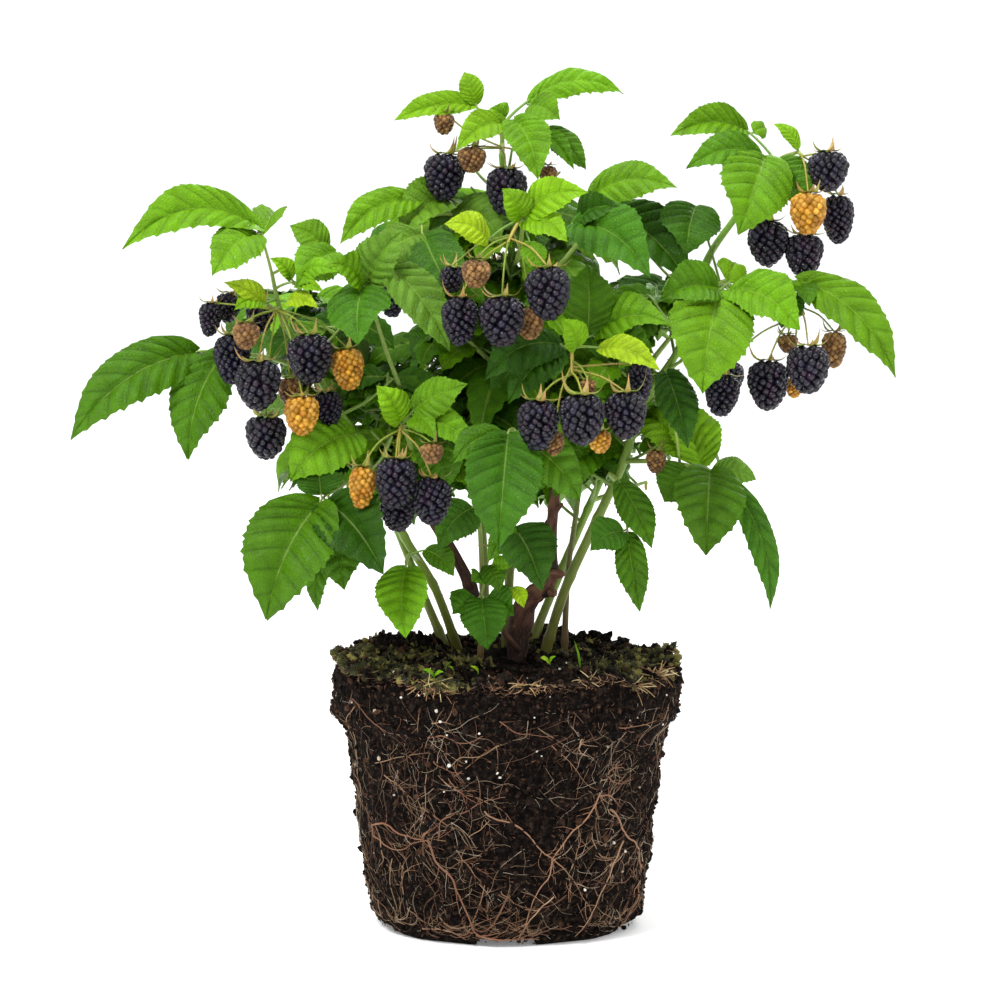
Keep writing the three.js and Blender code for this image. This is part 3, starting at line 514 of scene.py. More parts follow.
FRONT_ROOTS = [
    (1.3, [(-38, 54), (-34, 43), (-26, 35), (-24, 28), (-18, 16), (-15, 8), (-4, 4)]),
    (1.2, [(-65, 60), (-59, 61), (-53, 57), (-45, 55), (-37, 53)]),
    (1.0, [(-65, 60), (-66, 55), (-61, 51), (-53, 48), (-45, 52), (-38, 54)]),
    (0.7, [(-33, 55), (-32, 63), (-25, 67), (-18, 69), (-11, 74), (0, 76)]),
    (0.9, [(-11, 69), (-6, 65), (3, 63), (11, 57), (18, 48), (23, 45), (33, 34), (39, 23), (42, 19)]),
    (0.9, [(46, 77), (40, 66), (32, 58), (28, 52), (23, 46), (21, 37), (15, 28), (11, 18), (8, 8), (3, 5)]),
    (0.8, [(23, 26), (16, 20), (10, 12), (6, 5)]),
    (1.2, [(51, 69), (55, 65), (57, 58), (63, 51), (66, 45), (67, 35), (65, 24), (62, 13), (58, 8)]),
    (0.9, [(58, 52), (52, 41), (49, 30), (44, 20), (38, 11), (34, 4)]),
    (1.2, [(-15, 7), (-4, 5), (11, 5), (16, 4)]),
    (0.45, [(-18, 43), (-13, 40), (-8, 38)]),
    (0.45, [(-25, 51), (-19, 42), (-12, 34)]),
    (0.4, [(-18, 56), (-9, 63), (-8, 66)]),
    (0.4, [(-49, 19), (-42, 13), (-37, 11)]),
    (0.8, [(-42, 9), (-30, 9), (-25, 7), (-20, 4)]),
    (0.6, [(-51, 26), (-51, 34), (-47, 40), (-42, 42)]),
    (0.5, [(31, 40), (35, 48), (37, 57)]),
    (1.0, [(46, 76), (52, 75), (55, 71)]),
    (0.35, [(-3, 29), (4, 23), (6, 18)]),
    (0.35, [(-9, 14), (-9, 22), (-6, 25)]),
    (0.7, [(-78, 120), (-75, 123), (-71, 118), (-63, 110), (-58, 107), (-47, 106)]),
    (0.7, [(-38, 105), (-30, 106), (-23, 103), (-15, 104), (-11, 107)]),
    (0.5, [(-36, 112), (-32, 113), (-26, 112)]),
    (0.6, [(-3, 114), (3, 109), (10, 107), (23, 106)]),
    (0.5, [(-64, 91), (-51, 95), (-35, 98)]),
    (0.6, [(-29, 86), (-23, 79), (-15, 73)]),
    (0.5, [(-36, 93), (-30, 89), (-20, 87)]),
    (0.5, [(22, 101), (31, 93), (38, 84), (43, 79)]),
    (0.8, [(49, 86), (52, 89), (58, 89)]),
    (0.8, [(49, 85), (56, 81), (63, 83)]),
    (0.6, [(55, 109), (65, 110), (74, 112), (79, 114)]),
    (0.5, [(-60, 85), (-52, 80), (-45, 73)]),
    (0.9, [(36, 104), (36, 96)]),
]


def smooth_course(points, count):
    """A smooth line through points, as count points at equal steps along it."""
    p = np.asarray(points, float)
    if len(p) == 2:
        return p[0] + (p[1] - p[0]) * np.linspace(0, 1, count)[:, None]
    p = np.vstack([2 * p[0] - p[1], p, 2 * p[-1] - p[-2]])
    dense = []
    for i in range(1, len(p) - 2):
        p0, p1, p2, p3 = p[i - 1:i + 3]
        d1, d2, d3 = (max(np.linalg.norm(b - a), 1e-9) ** 0.5 for a, b in ((p0, p1), (p1, p2), (p2, p3)))
        t1 = ((p1 - p0) / d1 - (p2 - p0) / (d1 + d2) + (p2 - p1) / d2) * d2
        t2 = ((p2 - p1) / d2 - (p3 - p1) / (d2 + d3) + (p3 - p2) / d3) * d2
        t = np.linspace(0, 1, 24, endpoint=i == len(p) - 3)[:, None]
        dense.append(p1 * (2 * t**3 - 3 * t**2 + 1) + t1 * (t**3 - 2 * t**2 + t)
                     + p2 * (3 * t**2 - 2 * t**3) + t2 * (t**3 - t**2))
    dense = np.vstack(dense)
    run = np.concatenate([[0], np.cumsum(np.linalg.norm(np.diff(dense, axis=0), axis=1))])
    steps = np.linspace(0, run[-1], count)
    return np.stack([np.interp(steps, run, dense[:, k]) for k in range(3)], 1)


def tube(path, radii, sides, tint, upright=None):
    """A round shoot or root along a path, closed at both ends. A tint is one colour, or one for each step."""
    path = np.asarray(path)
    ahead = np.gradient(path, axis=0)
    ahead /= np.maximum(np.linalg.norm(ahead, axis=1, keepdims=True), 1e-12)
    if upright is None:
        frames = [np.cross(ahead[0], (0.3, 0.2, 1) if abs(ahead[0][2]) < 0.9 else (1, 0, 0.2))]
        for direction in ahead[1:]:
            frames.append(frames[-1] - direction * (frames[-1] @ direction))
        side = np.array(frames)
    else:
        side = np.cross(ahead, upright)
    side /= np.maximum(np.linalg.norm(side, axis=1, keepdims=True), 1e-12)
    above = np.cross(ahead, side)
    turn = np.arange(sides) * 2 * math.pi / sides
    round_of = side[:, None] * np.cos(turn)[None, :, None] + above[:, None] * np.sin(turn)[None, :, None]
    radii = np.asarray(radii, float)
    if radii.ndim == 1:
        radii = radii[:, None]
    body = path[:, None] + round_of * radii[..., None]
    steps = len(path)
    points = np.vstack([body.reshape(-1, 3), path[:1], path[-1:] + ahead[-1:] * radii[-1].mean()])
    j = np.arange(sides)
    k = (j + 1) % sides
    faces = []
    for i in range(steps - 1):
        a, b = i * sides + j, i * sides + k
        faces += [np.stack([a, b, b + sides], 1), np.stack([a, b + sides, a + sides], 1)]
    first, last = len(points) - 2, len(points) - 1
    faces.append(np.stack([np.full(sides, first), k, j], 1))
    faces.append(np.stack([(steps - 1) * sides + j, (steps - 1) * sides + k, np.full(sides, last)], 1))
    tint = np.asarray(tint)
    if tint.ndim == 1:
        tint = np.tile(tint, (steps, 1))
    colours = np.vstack([np.repeat(tint, sides, axis=0), tint[:1], tint[-1:]])
    return points, np.vstack(faces), {"tint": colours}


def on_front(across, up):
    """The angle and height on the ball's side seen at this place on the front elevation, in mm."""
    out = np.interp(up * MM, SIDE_HEIGHTS, SIDE_RADII)
    x = np.clip(across * MM, -out * 0.985, out * 0.985)
    y = -math.sqrt(out * out - x * x)
    z = AIM_HEIGHT + (up * MM - ELEVATION_MIDDLE - y * TILT_SIN) / TILT_COS
    return math.atan2(y, x), max(0.003, z)


def lay_root(angles, heights, radius, sides, tint, lift):
    """A root laid on the ball's side, half sunk in, that tapers and lifts off here and there."""
    points = np.array([side_point(a, z) for a, z in zip(angles, heights)])
    outward = points * (1, 1, 0)
    outward /= np.linalg.norm(outward, axis=1, keepdims=True)
    share = np.linspace(0, 1, len(points))
    raised = radius * 0.55 + lift * np.abs(np.sin(share * 7 + angles[0] * 9))
    course = points.copy()
    for _ in range(2):
        course[1:-1] = (course[:-2] + 2 * course[1:-1] + course[2:]) / 4
    course = course + outward * raised[:, None]
    course[:, 2] = np.maximum(course[:, 2], radius + 0.0002)
    root_parts.append(tube(course, radius * (1 - 0.62 * share), sides, tint, upright=outward))


def root_walk(angle, z, heading, steps, step, wander, low=0.003, high=0.125):
    """The angles and heights of a root that runs over the ball's side, straying and kinked here and there."""
    angles, heights = [angle], [z]
    for _ in range(steps):
        heading += rng.normal(0, wander) + (rng.random() < 0.14) * rng.normal(0, 0.6)
        if z < low + 0.006 and math.sin(heading) < 0:
            heading += 0.5 if math.cos(heading) > 0 else -0.5
        angle += math.cos(heading) * step * MM / SIDE_OUT
        z = min(high, max(low, z + math.sin(heading) * step * MM))
        angles.append(angle)
        heights.append(z)
    return np.array(angles), np.array(heights)


def lay_branches(angles, heights, radius, count, tint):
    """Thinner roots that leave a root to either side."""
    for _ in range(count):
        at = rng.integers(1, len(angles) - 1)
        ahead = math.atan2(heights[at + 1] - heights[at - 1], (angles[at + 1] - angles[at - 1]) * SIDE_OUT)
        heading = ahead + rng.choice([-1, 1]) * rng.uniform(0.4, 1.1)
        walk = root_walk(angles[at], heights[at], heading, int(rng.integers(4, 10)), 1.7, 0.2)
        thin = max(radius * rng.uniform(0.3, 0.6), 0.07 * MM)
        lay_root(*walk, thin, 3, tint * rng.uniform(0.9, 1.3), 0.3 * MM)


root_parts = []
for radius, course in FRONT_ROOTS:
    laid = np.array([on_front(*place_at) for place_at in course])
    line = smooth_course(np.column_stack([laid * (FRONT_OUT, 1), np.zeros(len(laid))]), 6 * len(course))
    angles = line[:, 0] / FRONT_OUT + rng.normal(0, 0.3 * MM, len(line)) / FRONT_OUT
    heights = line[:, 1] + rng.normal(0, 0.3 * MM, len(line))
    tint = tints_from(FRONT_COLOURS, 1, 0.1)[0]
    lay_root(angles, heights, radius * MM * 0.48, 6, tint, 0.5 * MM)
    lay_branches(angles, heights, radius * MM * 0.5, 2 + len(course), tint)

# Most of the other roots run steeply down, all round the ball, and fewer lie where the front is bare.
for count, steps, step, radii, sides, wander, lift, branches, palette in ROOT_KINDS.values():
    laid = 0
    while laid < count:
        angle, z = rng.uniform(0, 2 * math.pi), 0.003 + 0.118 * rng.random() ** 1.15
        bare = abs(math.remainder(angle + math.pi / 2 - 0.1, 2 * math.pi)) < 0.42 and z > 0.04
        if bare and rng.random() < 0.6:
            continue
        heading = -math.pi / 2 + rng.normal(0, 0.85)
        walk = root_walk(angle, z, heading, int(steps * rng.uniform(0.5, 1.2)), step, wander)
        tint = tints_from(palette, 1, 0.25)[0]
        radius = rng.uniform(*radii) * MM
        lay_root(*walk, radius, sides, tint, lift * MM)
        lay_branches(*walk, radius, branches, tint)
        laid += 1
for across, up, spread, count in TANGLES:
    for _ in range(count):
        angle, z = on_front(across + rng.normal(0, spread * 0.7), up + rng.normal(0, spread * 0.7))
        walk = root_walk(angle, z, rng.uniform(0, 2 * math.pi), 9, 1.6, 0.22)
        radius = rng.uniform(0.08, 0.14) * MM
        lay_root(*walk, radius, 3, tints_from(TANGLE_COLOURS, 1, 0.15)[0], 0.9 * MM)
fibre = tinted_material("root_bark", 0.7, 0.3, 1400, 0.22, 0.0002)
roots = joined("roots", root_parts, fibre)

# ---- Moss and straw on the soil ----
# Cushions of dark moss cover the left and right of the top, each tuft a soft lump with short shoots on it.
# Dry straw and torn root fibre lie on the rim and stick out of it.
MOSS_PATCHES = [
    (-60, -30, 24, 300), (-44, -52, 18, 220), (-74, 0, 20, 180), (-30, -66, 15, 150), (-50, 20, 24, 160),
    (54, -26, 22, 220), (70, 6, 18, 160), (40, 30, 24, 160), (62, -44, 12, 90), (0, 50, 28, 200),
    (-20, -20, 16, 80),
]
MOSS_COLOURS = [(44, 43, 22), (58, 57, 28), (76, 74, 36), (108, 102, 50), (32, 31, 18)]
STRAW_TUFTS = [
    (-38, -72, 30, 10), (-30, -76, 22, 8), (8, -78, 36, 10), (18, -76, 24, 8), (62, -54, 40, 10),
    (74, -34, 34, 10), (40, -68, 10, 7), (-72, -38, 12, 9), (-82, -8, 10, 7), (60, 58, 18, 9),
    (-50, 64, 16, 9), (5, 82, 16, 9),
]
STRAW_COLOURS = [(176, 148, 100), (150, 116, 78), (128, 88, 60), (196, 178, 132)]
RIM_FIBRES = 460
MOSS_OUT = 0.086
STRAW_OUT = 0.085
RIM_OUT = 0.0855
RIM_FIBRE_COLOURS = [(104, 74, 52), (74, 50, 36), (132, 98, 70), (54, 37, 28), (158, 126, 92)]


def drawn_in(x, y, limit):
    """This place, moved in towards the ball's middle if it lies further out than the limit."""
    out = math.hypot(x, y)
    return (x * limit / out, y * limit / out) if out > limit else (x, y)


centres, sizes = [], []
for across, back, spread, count in MOSS_PATCHES:
    for _ in range(count):
        x, y = (across + rng.normal(0, spread * 0.45)) * MM, (back + rng.normal(0, spread * 0.45)) * MM
        x, y = drawn_in(x, y, MOSS_OUT)
        centres.append((x, y, top_height(x, y) + rng.uniform(-0.4, 1.0) * MM))
        sizes.append(rng.uniform(0.9, 2.0) * MM)
moss_tints = tints_from(MOSS_COLOURS, len(centres), 0.3)
moss_parts = [lumps_at(low_shape, centres, sizes, 0.5, moss_tints)]
for centre, size, tint in zip(centres, sizes, moss_tints):
    for _ in range(2):
        lean = rng.normal(0, 0.7, 3)
        lean[2] = 1
        foot = np.array(centre) + rng.normal(0, 0.5 * MM, 3)
        course = [foot, foot + lean * size * 0.7, foot + lean * size * 1.2 - (0, 0, 0.2 * MM)]
        moss_parts.append(tube(course, [0.34 * MM, 0.3 * MM, 0.05 * MM], 3, tint * 1.25))
felt = tinted_material("moss", 0.85, 0.25, 900, 0.35)
moss = joined("moss", moss_parts, felt)

straw_parts = []
for across, back, count, long in STRAW_TUFTS:
    for _ in range(count):
        x, y = (across + rng.normal(0, 3)) * MM, (back + rng.normal(0, 2)) * MM
        out = math.hypot(x, y)
        x, y = drawn_in(x, y, STRAW_OUT)
        foot = np.array([x, y, top_height(x, y) + 0.2 * MM])
        way = np.array([x, y, 0]) / out * rng.uniform(-0.3, 1) + rng.normal(0, 0.8, 3)
        way[2] = rng.uniform(-0.35, 0.5)
        way /= np.linalg.norm(way)
        sag = rng.uniform(-0.5, 0.15)
        length = long * rng.uniform(0.5, 1.1) * MM
        course = [foot + way * length * t + (0, 0, sag * length * t * t) for t in np.linspace(0, 1, 6)]
        tint = tints_from(STRAW_COLOURS, 1, 0.15)[0]
        straw_parts.append(tube(course, np.linspace(0.34, 0.12, 6) * MM, 4, tint))
for _ in range(RIM_FIBRES):
    angle = rng.uniform(0, 2 * math.pi) if rng.random() < 0.5 else rng.normal(-math.pi / 2, 0.75)
    x, y = spot_at(angle, min(RIM_OUT + rng.normal(0, 1.3) * MM, max(SIDE_RADII)))
    foot = np.array([x, y, top_height(x * LIP_INSET, y * LIP_INSET) + rng.uniform(-3.2, 0.3) * MM])
    spin = rng.normal(0, 0.55)
    way = np.array([-math.sin(angle) * math.cos(spin), math.cos(angle) * math.cos(spin), math.sin(spin)])
    way *= rng.choice([-1, 1]) * rng.uniform(2.5, 9) * MM
    inward = np.array([-x, -y, 0]) * 0.06
    lifted = foot + way / 6 + (0, 0, 0.4 * MM)
    course = [foot - way / 2 + inward, foot - way / 6, lifted, foot + way / 2 + inward]
    tint = tints_from(RIM_FIBRE_COLOURS, 1, 0.2)[0]
    straw_parts.append(tube(course, np.linspace(0.22, 0.1, 4) * MM, 3, tint))
straw = joined("straw", straw_parts, fibre)

# ---- Old wood ----
# The thick woody crown that the bush grows from, the cane above it that was cut back, and an old brown cane
# on the left. Their bark is dark, split lengthways and flaking.
ROOTED = 7
GRAIN_REACH = 70
OLD_WOOD = {
    "stump": (
        [(5, 140, 5), (7, 158, 5), (10, 170, 4), (19, 178, 2), (22, 184, 0)], (4.3, 4.3, 6.3, 4.9), 3.9),
    "old_cane_cut": ([(20, 180, 1), (22, 188, 0), (22, 196, -1), (23, 211, -2), (25, 228, -3)], 3.1, 2.5),
    "old_cane_left": (
        [(-9, 142, 14), (-14, 165, 14), (-20, 183, 12), (-29, 199, 8), (-40, 217, -1), (-46, 243, -18)],
        3.3, 2.2),
}
OLD_STUBS = [
    ([(13, 168, 2), (22, 184, -1), (28, 184, -3)], 2.6, 1.9),
    ([(21, 176, 1), (24, 174, -2)], 2.4, 1.8),
    ([(3, 150, -3), (-2, 156, -8)], 1.5, 1.1),
    ([(24, 214, -2), (28, 219, -6)], 1.3, 0.8),
]
WOOD_TINTS = [(38, 21, 10), (48, 28, 16), (93, 60, 44), (110, 76, 58)]


def placed(spot):
    """The point seen at [across, up] on the front elevation, in mm, that lies at that depth."""
    across, up, depth = (v * MM for v in spot[:3])
    rise = up - ELEVATION_MIDDLE
    seen = np.array([across, rise * TILT_SIN, AIM_HEIGHT + rise * TILT_COS])
    return eye + (seen - eye) * (depth - eye[1]) / (seen[1] - eye[1])


def elevation(points):
    """Where points in space are seen on the front elevation, as across and up in mm."""
    aim = np.array([0, 0, AIM_HEIGHT])
    level = np.array([0, TILT_COS, -TILT_SIN])
    ways = np.atleast_2d(points) - eye
    seen = eye + ways * ((aim - eye) @ level / (ways @ level))[:, None]
    up = (seen - aim) @ (0, TILT_SIN, TILT_COS)
    return seen[:, 0] / MM, up / MM + ELEVATION_MIDDLE / MM


def cane_tube(course, foot, tip, sides, rough, ridge, node_every, tints, flare=0.0):
    """A cane through spots on the elevation, rooted below the first, with rough bark and swollen nodes."""
    spots = [placed(spot) for spot in course]
    down = spots[0] - spots[1]
    spots.insert(0, spots[0] + down / np.linalg.norm(down) * ROOTED * MM)
    long = sum(np.linalg.norm(b - a) for a, b in zip(spots, spots[1:]))
    line = smooth_course(spots, max(8, int(long / (1.5 * MM))))
    run = np.linspace(0, long, len(line))
    widths = [*np.atleast_1d(foot), tip]
    radii = np.interp(run / long, np.linspace(0, 1, len(widths)), widths) * MM
    radii = radii * (1 + flare * np.exp(-((run / 0.014) ** 2)))
    for at in np.arange(0.5 * node_every, long, node_every):
        radii = radii * (1 + 0.16 * np.exp(-(((run - at) / 0.0022) ** 2)))
    turn = np.arange(sides) * 2 * math.pi / sides
    round_of = np.stack([np.cos(turn), np.sin(turn)], 1)
    relief = np.array([[
        noise.noise(Vector((c * 1.6, s * 1.6, along * 55 + len(course)))) * rough
        + noise.noise(Vector((c * 4.5, s * 4.5, along * 45 + tip))) * ridge
        for c, s in round_of] for along in run])
    palette = np.array([linear(*colour) for colour in tints])
    share = run / long * (len(palette) - 1)
    lower = np.minimum(share.astype(int), len(palette) - 2)
    tint = palette[lower] + (palette[lower + 1] - palette[lower]) * (share - lower)[:, None]
    points, faces, values = tube(line, radii[:, None] * (1 + relief), sides, tint)
    grain = np.column_stack([np.tile(round_of, (len(line), 1)), np.repeat(run * GRAIN_REACH, sides)])
    values["grain"] = np.vstack([grain, (0, 0, 0), (0, 0, long * GRAIN_REACH)])
    return points, faces, values


def blended(tree, share, first, second, way="MIX"):
    """One colour over another, by this share."""
    inputs = {"Factor": share, "A": first, "B": second}
    return add_node(tree, "Mix", inputs, data_type="RGBA", blend_type=way)["Result"]


# The lengthways streaks of old bark and of green skin are one effect, each with its own groove colour.
bark_streaks, given, put_out = shared_effect(
    "bark_streaks", {"Tint": "Color", "Place": "Vector", "Groove": "Color"},
    {"Color": "Color", "Height": "Float"})
streak = noise_at(bark_streaks, given["Place"], 2.2, 5, 0.65)
grooved = blended(
    bark_streaks, mapped(bark_streaks, streak, 0.38, 0.62, 0, 1), (1, 1, 1, 1), given["Groove"], "MULTIPLY")
streaked = add_node(bark_streaks, "VectorMath", {0: given["Tint"], 1: grooved}, operation="MULTIPLY")
set_inputs(bark_streaks, put_out, {"Color": streaked["Vector"], "Height": streak})


def bark_material(name, roughness, groove, depth, flakes=None):
    """Bark that takes each point's tint, streaked lengthways, with paler chips where it flakes."""
    made, tree, shader = new_material(name, roughness, 0.3)
    grain = surface_value(tree, "grain", "Vector")
    inputs = {"Tint": surface_value(tree, "tint", "Color"), "Place": grain, "Groove": (*groove, 1)}
    streaked = add_node(tree, "Group", inputs, node_tree=bark_streaks)
    colour = streaked["Color"]
    if flakes:
        chips = mapped(tree, noise_at(tree, grain, 5.5, 3, 0.5), 0.63, 0.72, 0, 1)
        colour = blended(tree, chips, colour, (*flakes, 1))
    set_inputs(tree, shader, {"Base Color": colour})
    bump_from(tree, shader, streaked["Height"], depth, 0.0006)
    return made


wood_parts = [cane_tube(*wood, 22, 0.2, 0.22, 0.03, WOOD_TINTS, 0.05) for wood in OLD_WOOD.values()]
wood_parts += [cane_tube(*stub, 14, 0.2, 0.2, 0.02, WOOD_TINTS[1:]) for stub in OLD_STUBS]
old_bark = bark_material("old_bark", 0.8, (0.3, 0.25, 0.22), 0.9, linear(104, 72, 52))
old_wood = joined("old_wood", wood_parts, old_bark)
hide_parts(*OLD_WOOD)

# ---- Green canes ----
# This year's canes: round, pliant and green, browner at the foot, with a slight swelling at each node.
# Short hooked prickles stand on them here and there.
GREEN_CANES = {
    "cane_left": (
        [(-24, 146, 34), (-36, 178, 14), (-51, 203, -4), (-70, 243, -20), (-90, 276, -30), (-110, 308, -38)],
        2.3, 1.7),
    "cane_right": (
        [(19, 143, 24), (29, 175, 18), (43, 206, 12), (57, 236, 6), (70, 271, 2), (86, 296, 0), (93, 319, -1),
         (101, 342, -2), (116, 364, -4), (131, 385, -6)], 2.7, 1.5),
    "cane_centre": (
        [(0, 145, 42), (3, 210, 38), (6, 270, 26), (4, 330, 12), (0, 372, 4), (-2, 394, 0)], 2.4, 1.7),
    "young_cane": ([(29, 141, 34), (31, 185, 30), (35, 214, 24), (38, 236, 16)], 1.7, 1.2),
    "young_shoot": ([(-13, 136, -2), (-12, 170, -5), (-13, 205, -12), (-14, 214, -15)], 1.5, 1.1),
    "back_cane_left": ([(-30, 147, 58), (-48, 190, 74), (-66, 240, 92), (-76, 286, 104)], 2.3, 1.5),
    "back_cane_right": ([(12, 148, 62), (32, 196, 78), (54, 246, 94), (74, 292, 102)], 2.4, 1.5),
    "back_cane_middle": ([(-10, 148, 60), (-12, 210, 74), (-20, 280, 82), (-26, 336, 78)], 2.3, 1.5),
}
CANE_TINTS = [(104, 98, 46), (114, 136, 54), (120, 154, 62), (116, 158, 58), (110, 156, 52)]
YOUNG_TINTS = [(96, 70, 48), (104, 96, 54), (112, 140, 62)]
PRICKLE_TINT = linear(150, 116, 74)
CANE_STEPS = 120


def spikes_on(line, radii, count, long, thick, hook, tint):
    """Short pointed spikes that stand on a shoot, each a slim three sided cone."""
    ahead = np.gradient(line, axis=0)
    ahead /= np.linalg.norm(ahead, axis=1, keepdims=True)
    at = rng.integers(1, len(line) - 1, count)
    spin = rng.normal(size=(count, 3))
    out = spin - ahead[at] * np.sum(spin * ahead[at], axis=1, keepdims=True)
    out /= np.linalg.norm(out, axis=1, keepdims=True)
    slide = rng.uniform(-0.5, 0.5, (count, 1)) * np.linalg.norm(line[1] - line[0])
    foot = line[at] + ahead[at] * slide + out * radii[at][:, None] * 0.9
    side = np.cross(ahead[at], out)
    length = long * rng.uniform(0.6, 1.2, (count, 1))
    tip = foot + out * length - ahead[at] * length * hook
    rear = foot - side * thick * 0.6
    base = [foot + side * thick, rear + ahead[at] * thick, rear - ahead[at] * thick]
    points = np.stack([*base, tip], 1).reshape(-1, 3)
    start = np.arange(count)[:, None] * 4
    faces = np.concatenate([start + (0, 1, 3), start + (1, 2, 3), start + (2, 0, 3), start + (0, 2, 1)])
    return points, faces, {"tint": np.tile(tint, (count * 4, 1))}


cane_lines = {}
cane_parts, prickle_parts = [], []
for name, (course, foot, tip) in {**OLD_WOOD, **GREEN_CANES}.items():
    line = smooth_course([placed(spot) for spot in course], CANE_STEPS)
    cane_lines[name] = line
    if name in GREEN_CANES:
        tints, count = (YOUNG_TINTS, 8) if name.startswith("young") else (CANE_TINTS, 26)
        cane_parts.append(cane_tube(course, foot, tip, 16, 0.07, 0.03, 0.034, tints, 0.18))
        radii = np.linspace(foot, tip, CANE_STEPS) * MM
        prickle_parts.append(spikes_on(line, radii, count, 1.7 * MM, 0.35 * MM, 0.35, PRICKLE_TINT))
green_bark = bark_material("green_bark", 0.5, (0.78, 0.74, 0.6), 0.3)
green_canes = joined("green_canes", cane_parts, green_bark)
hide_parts(*GREEN_CANES)
thorn = tinted_material("prickle_horn", 0.45, 0.4, 600, 0.15, 0.0001)
prickles = joined("prickles", prickle_parts, thorn, smooth=False)

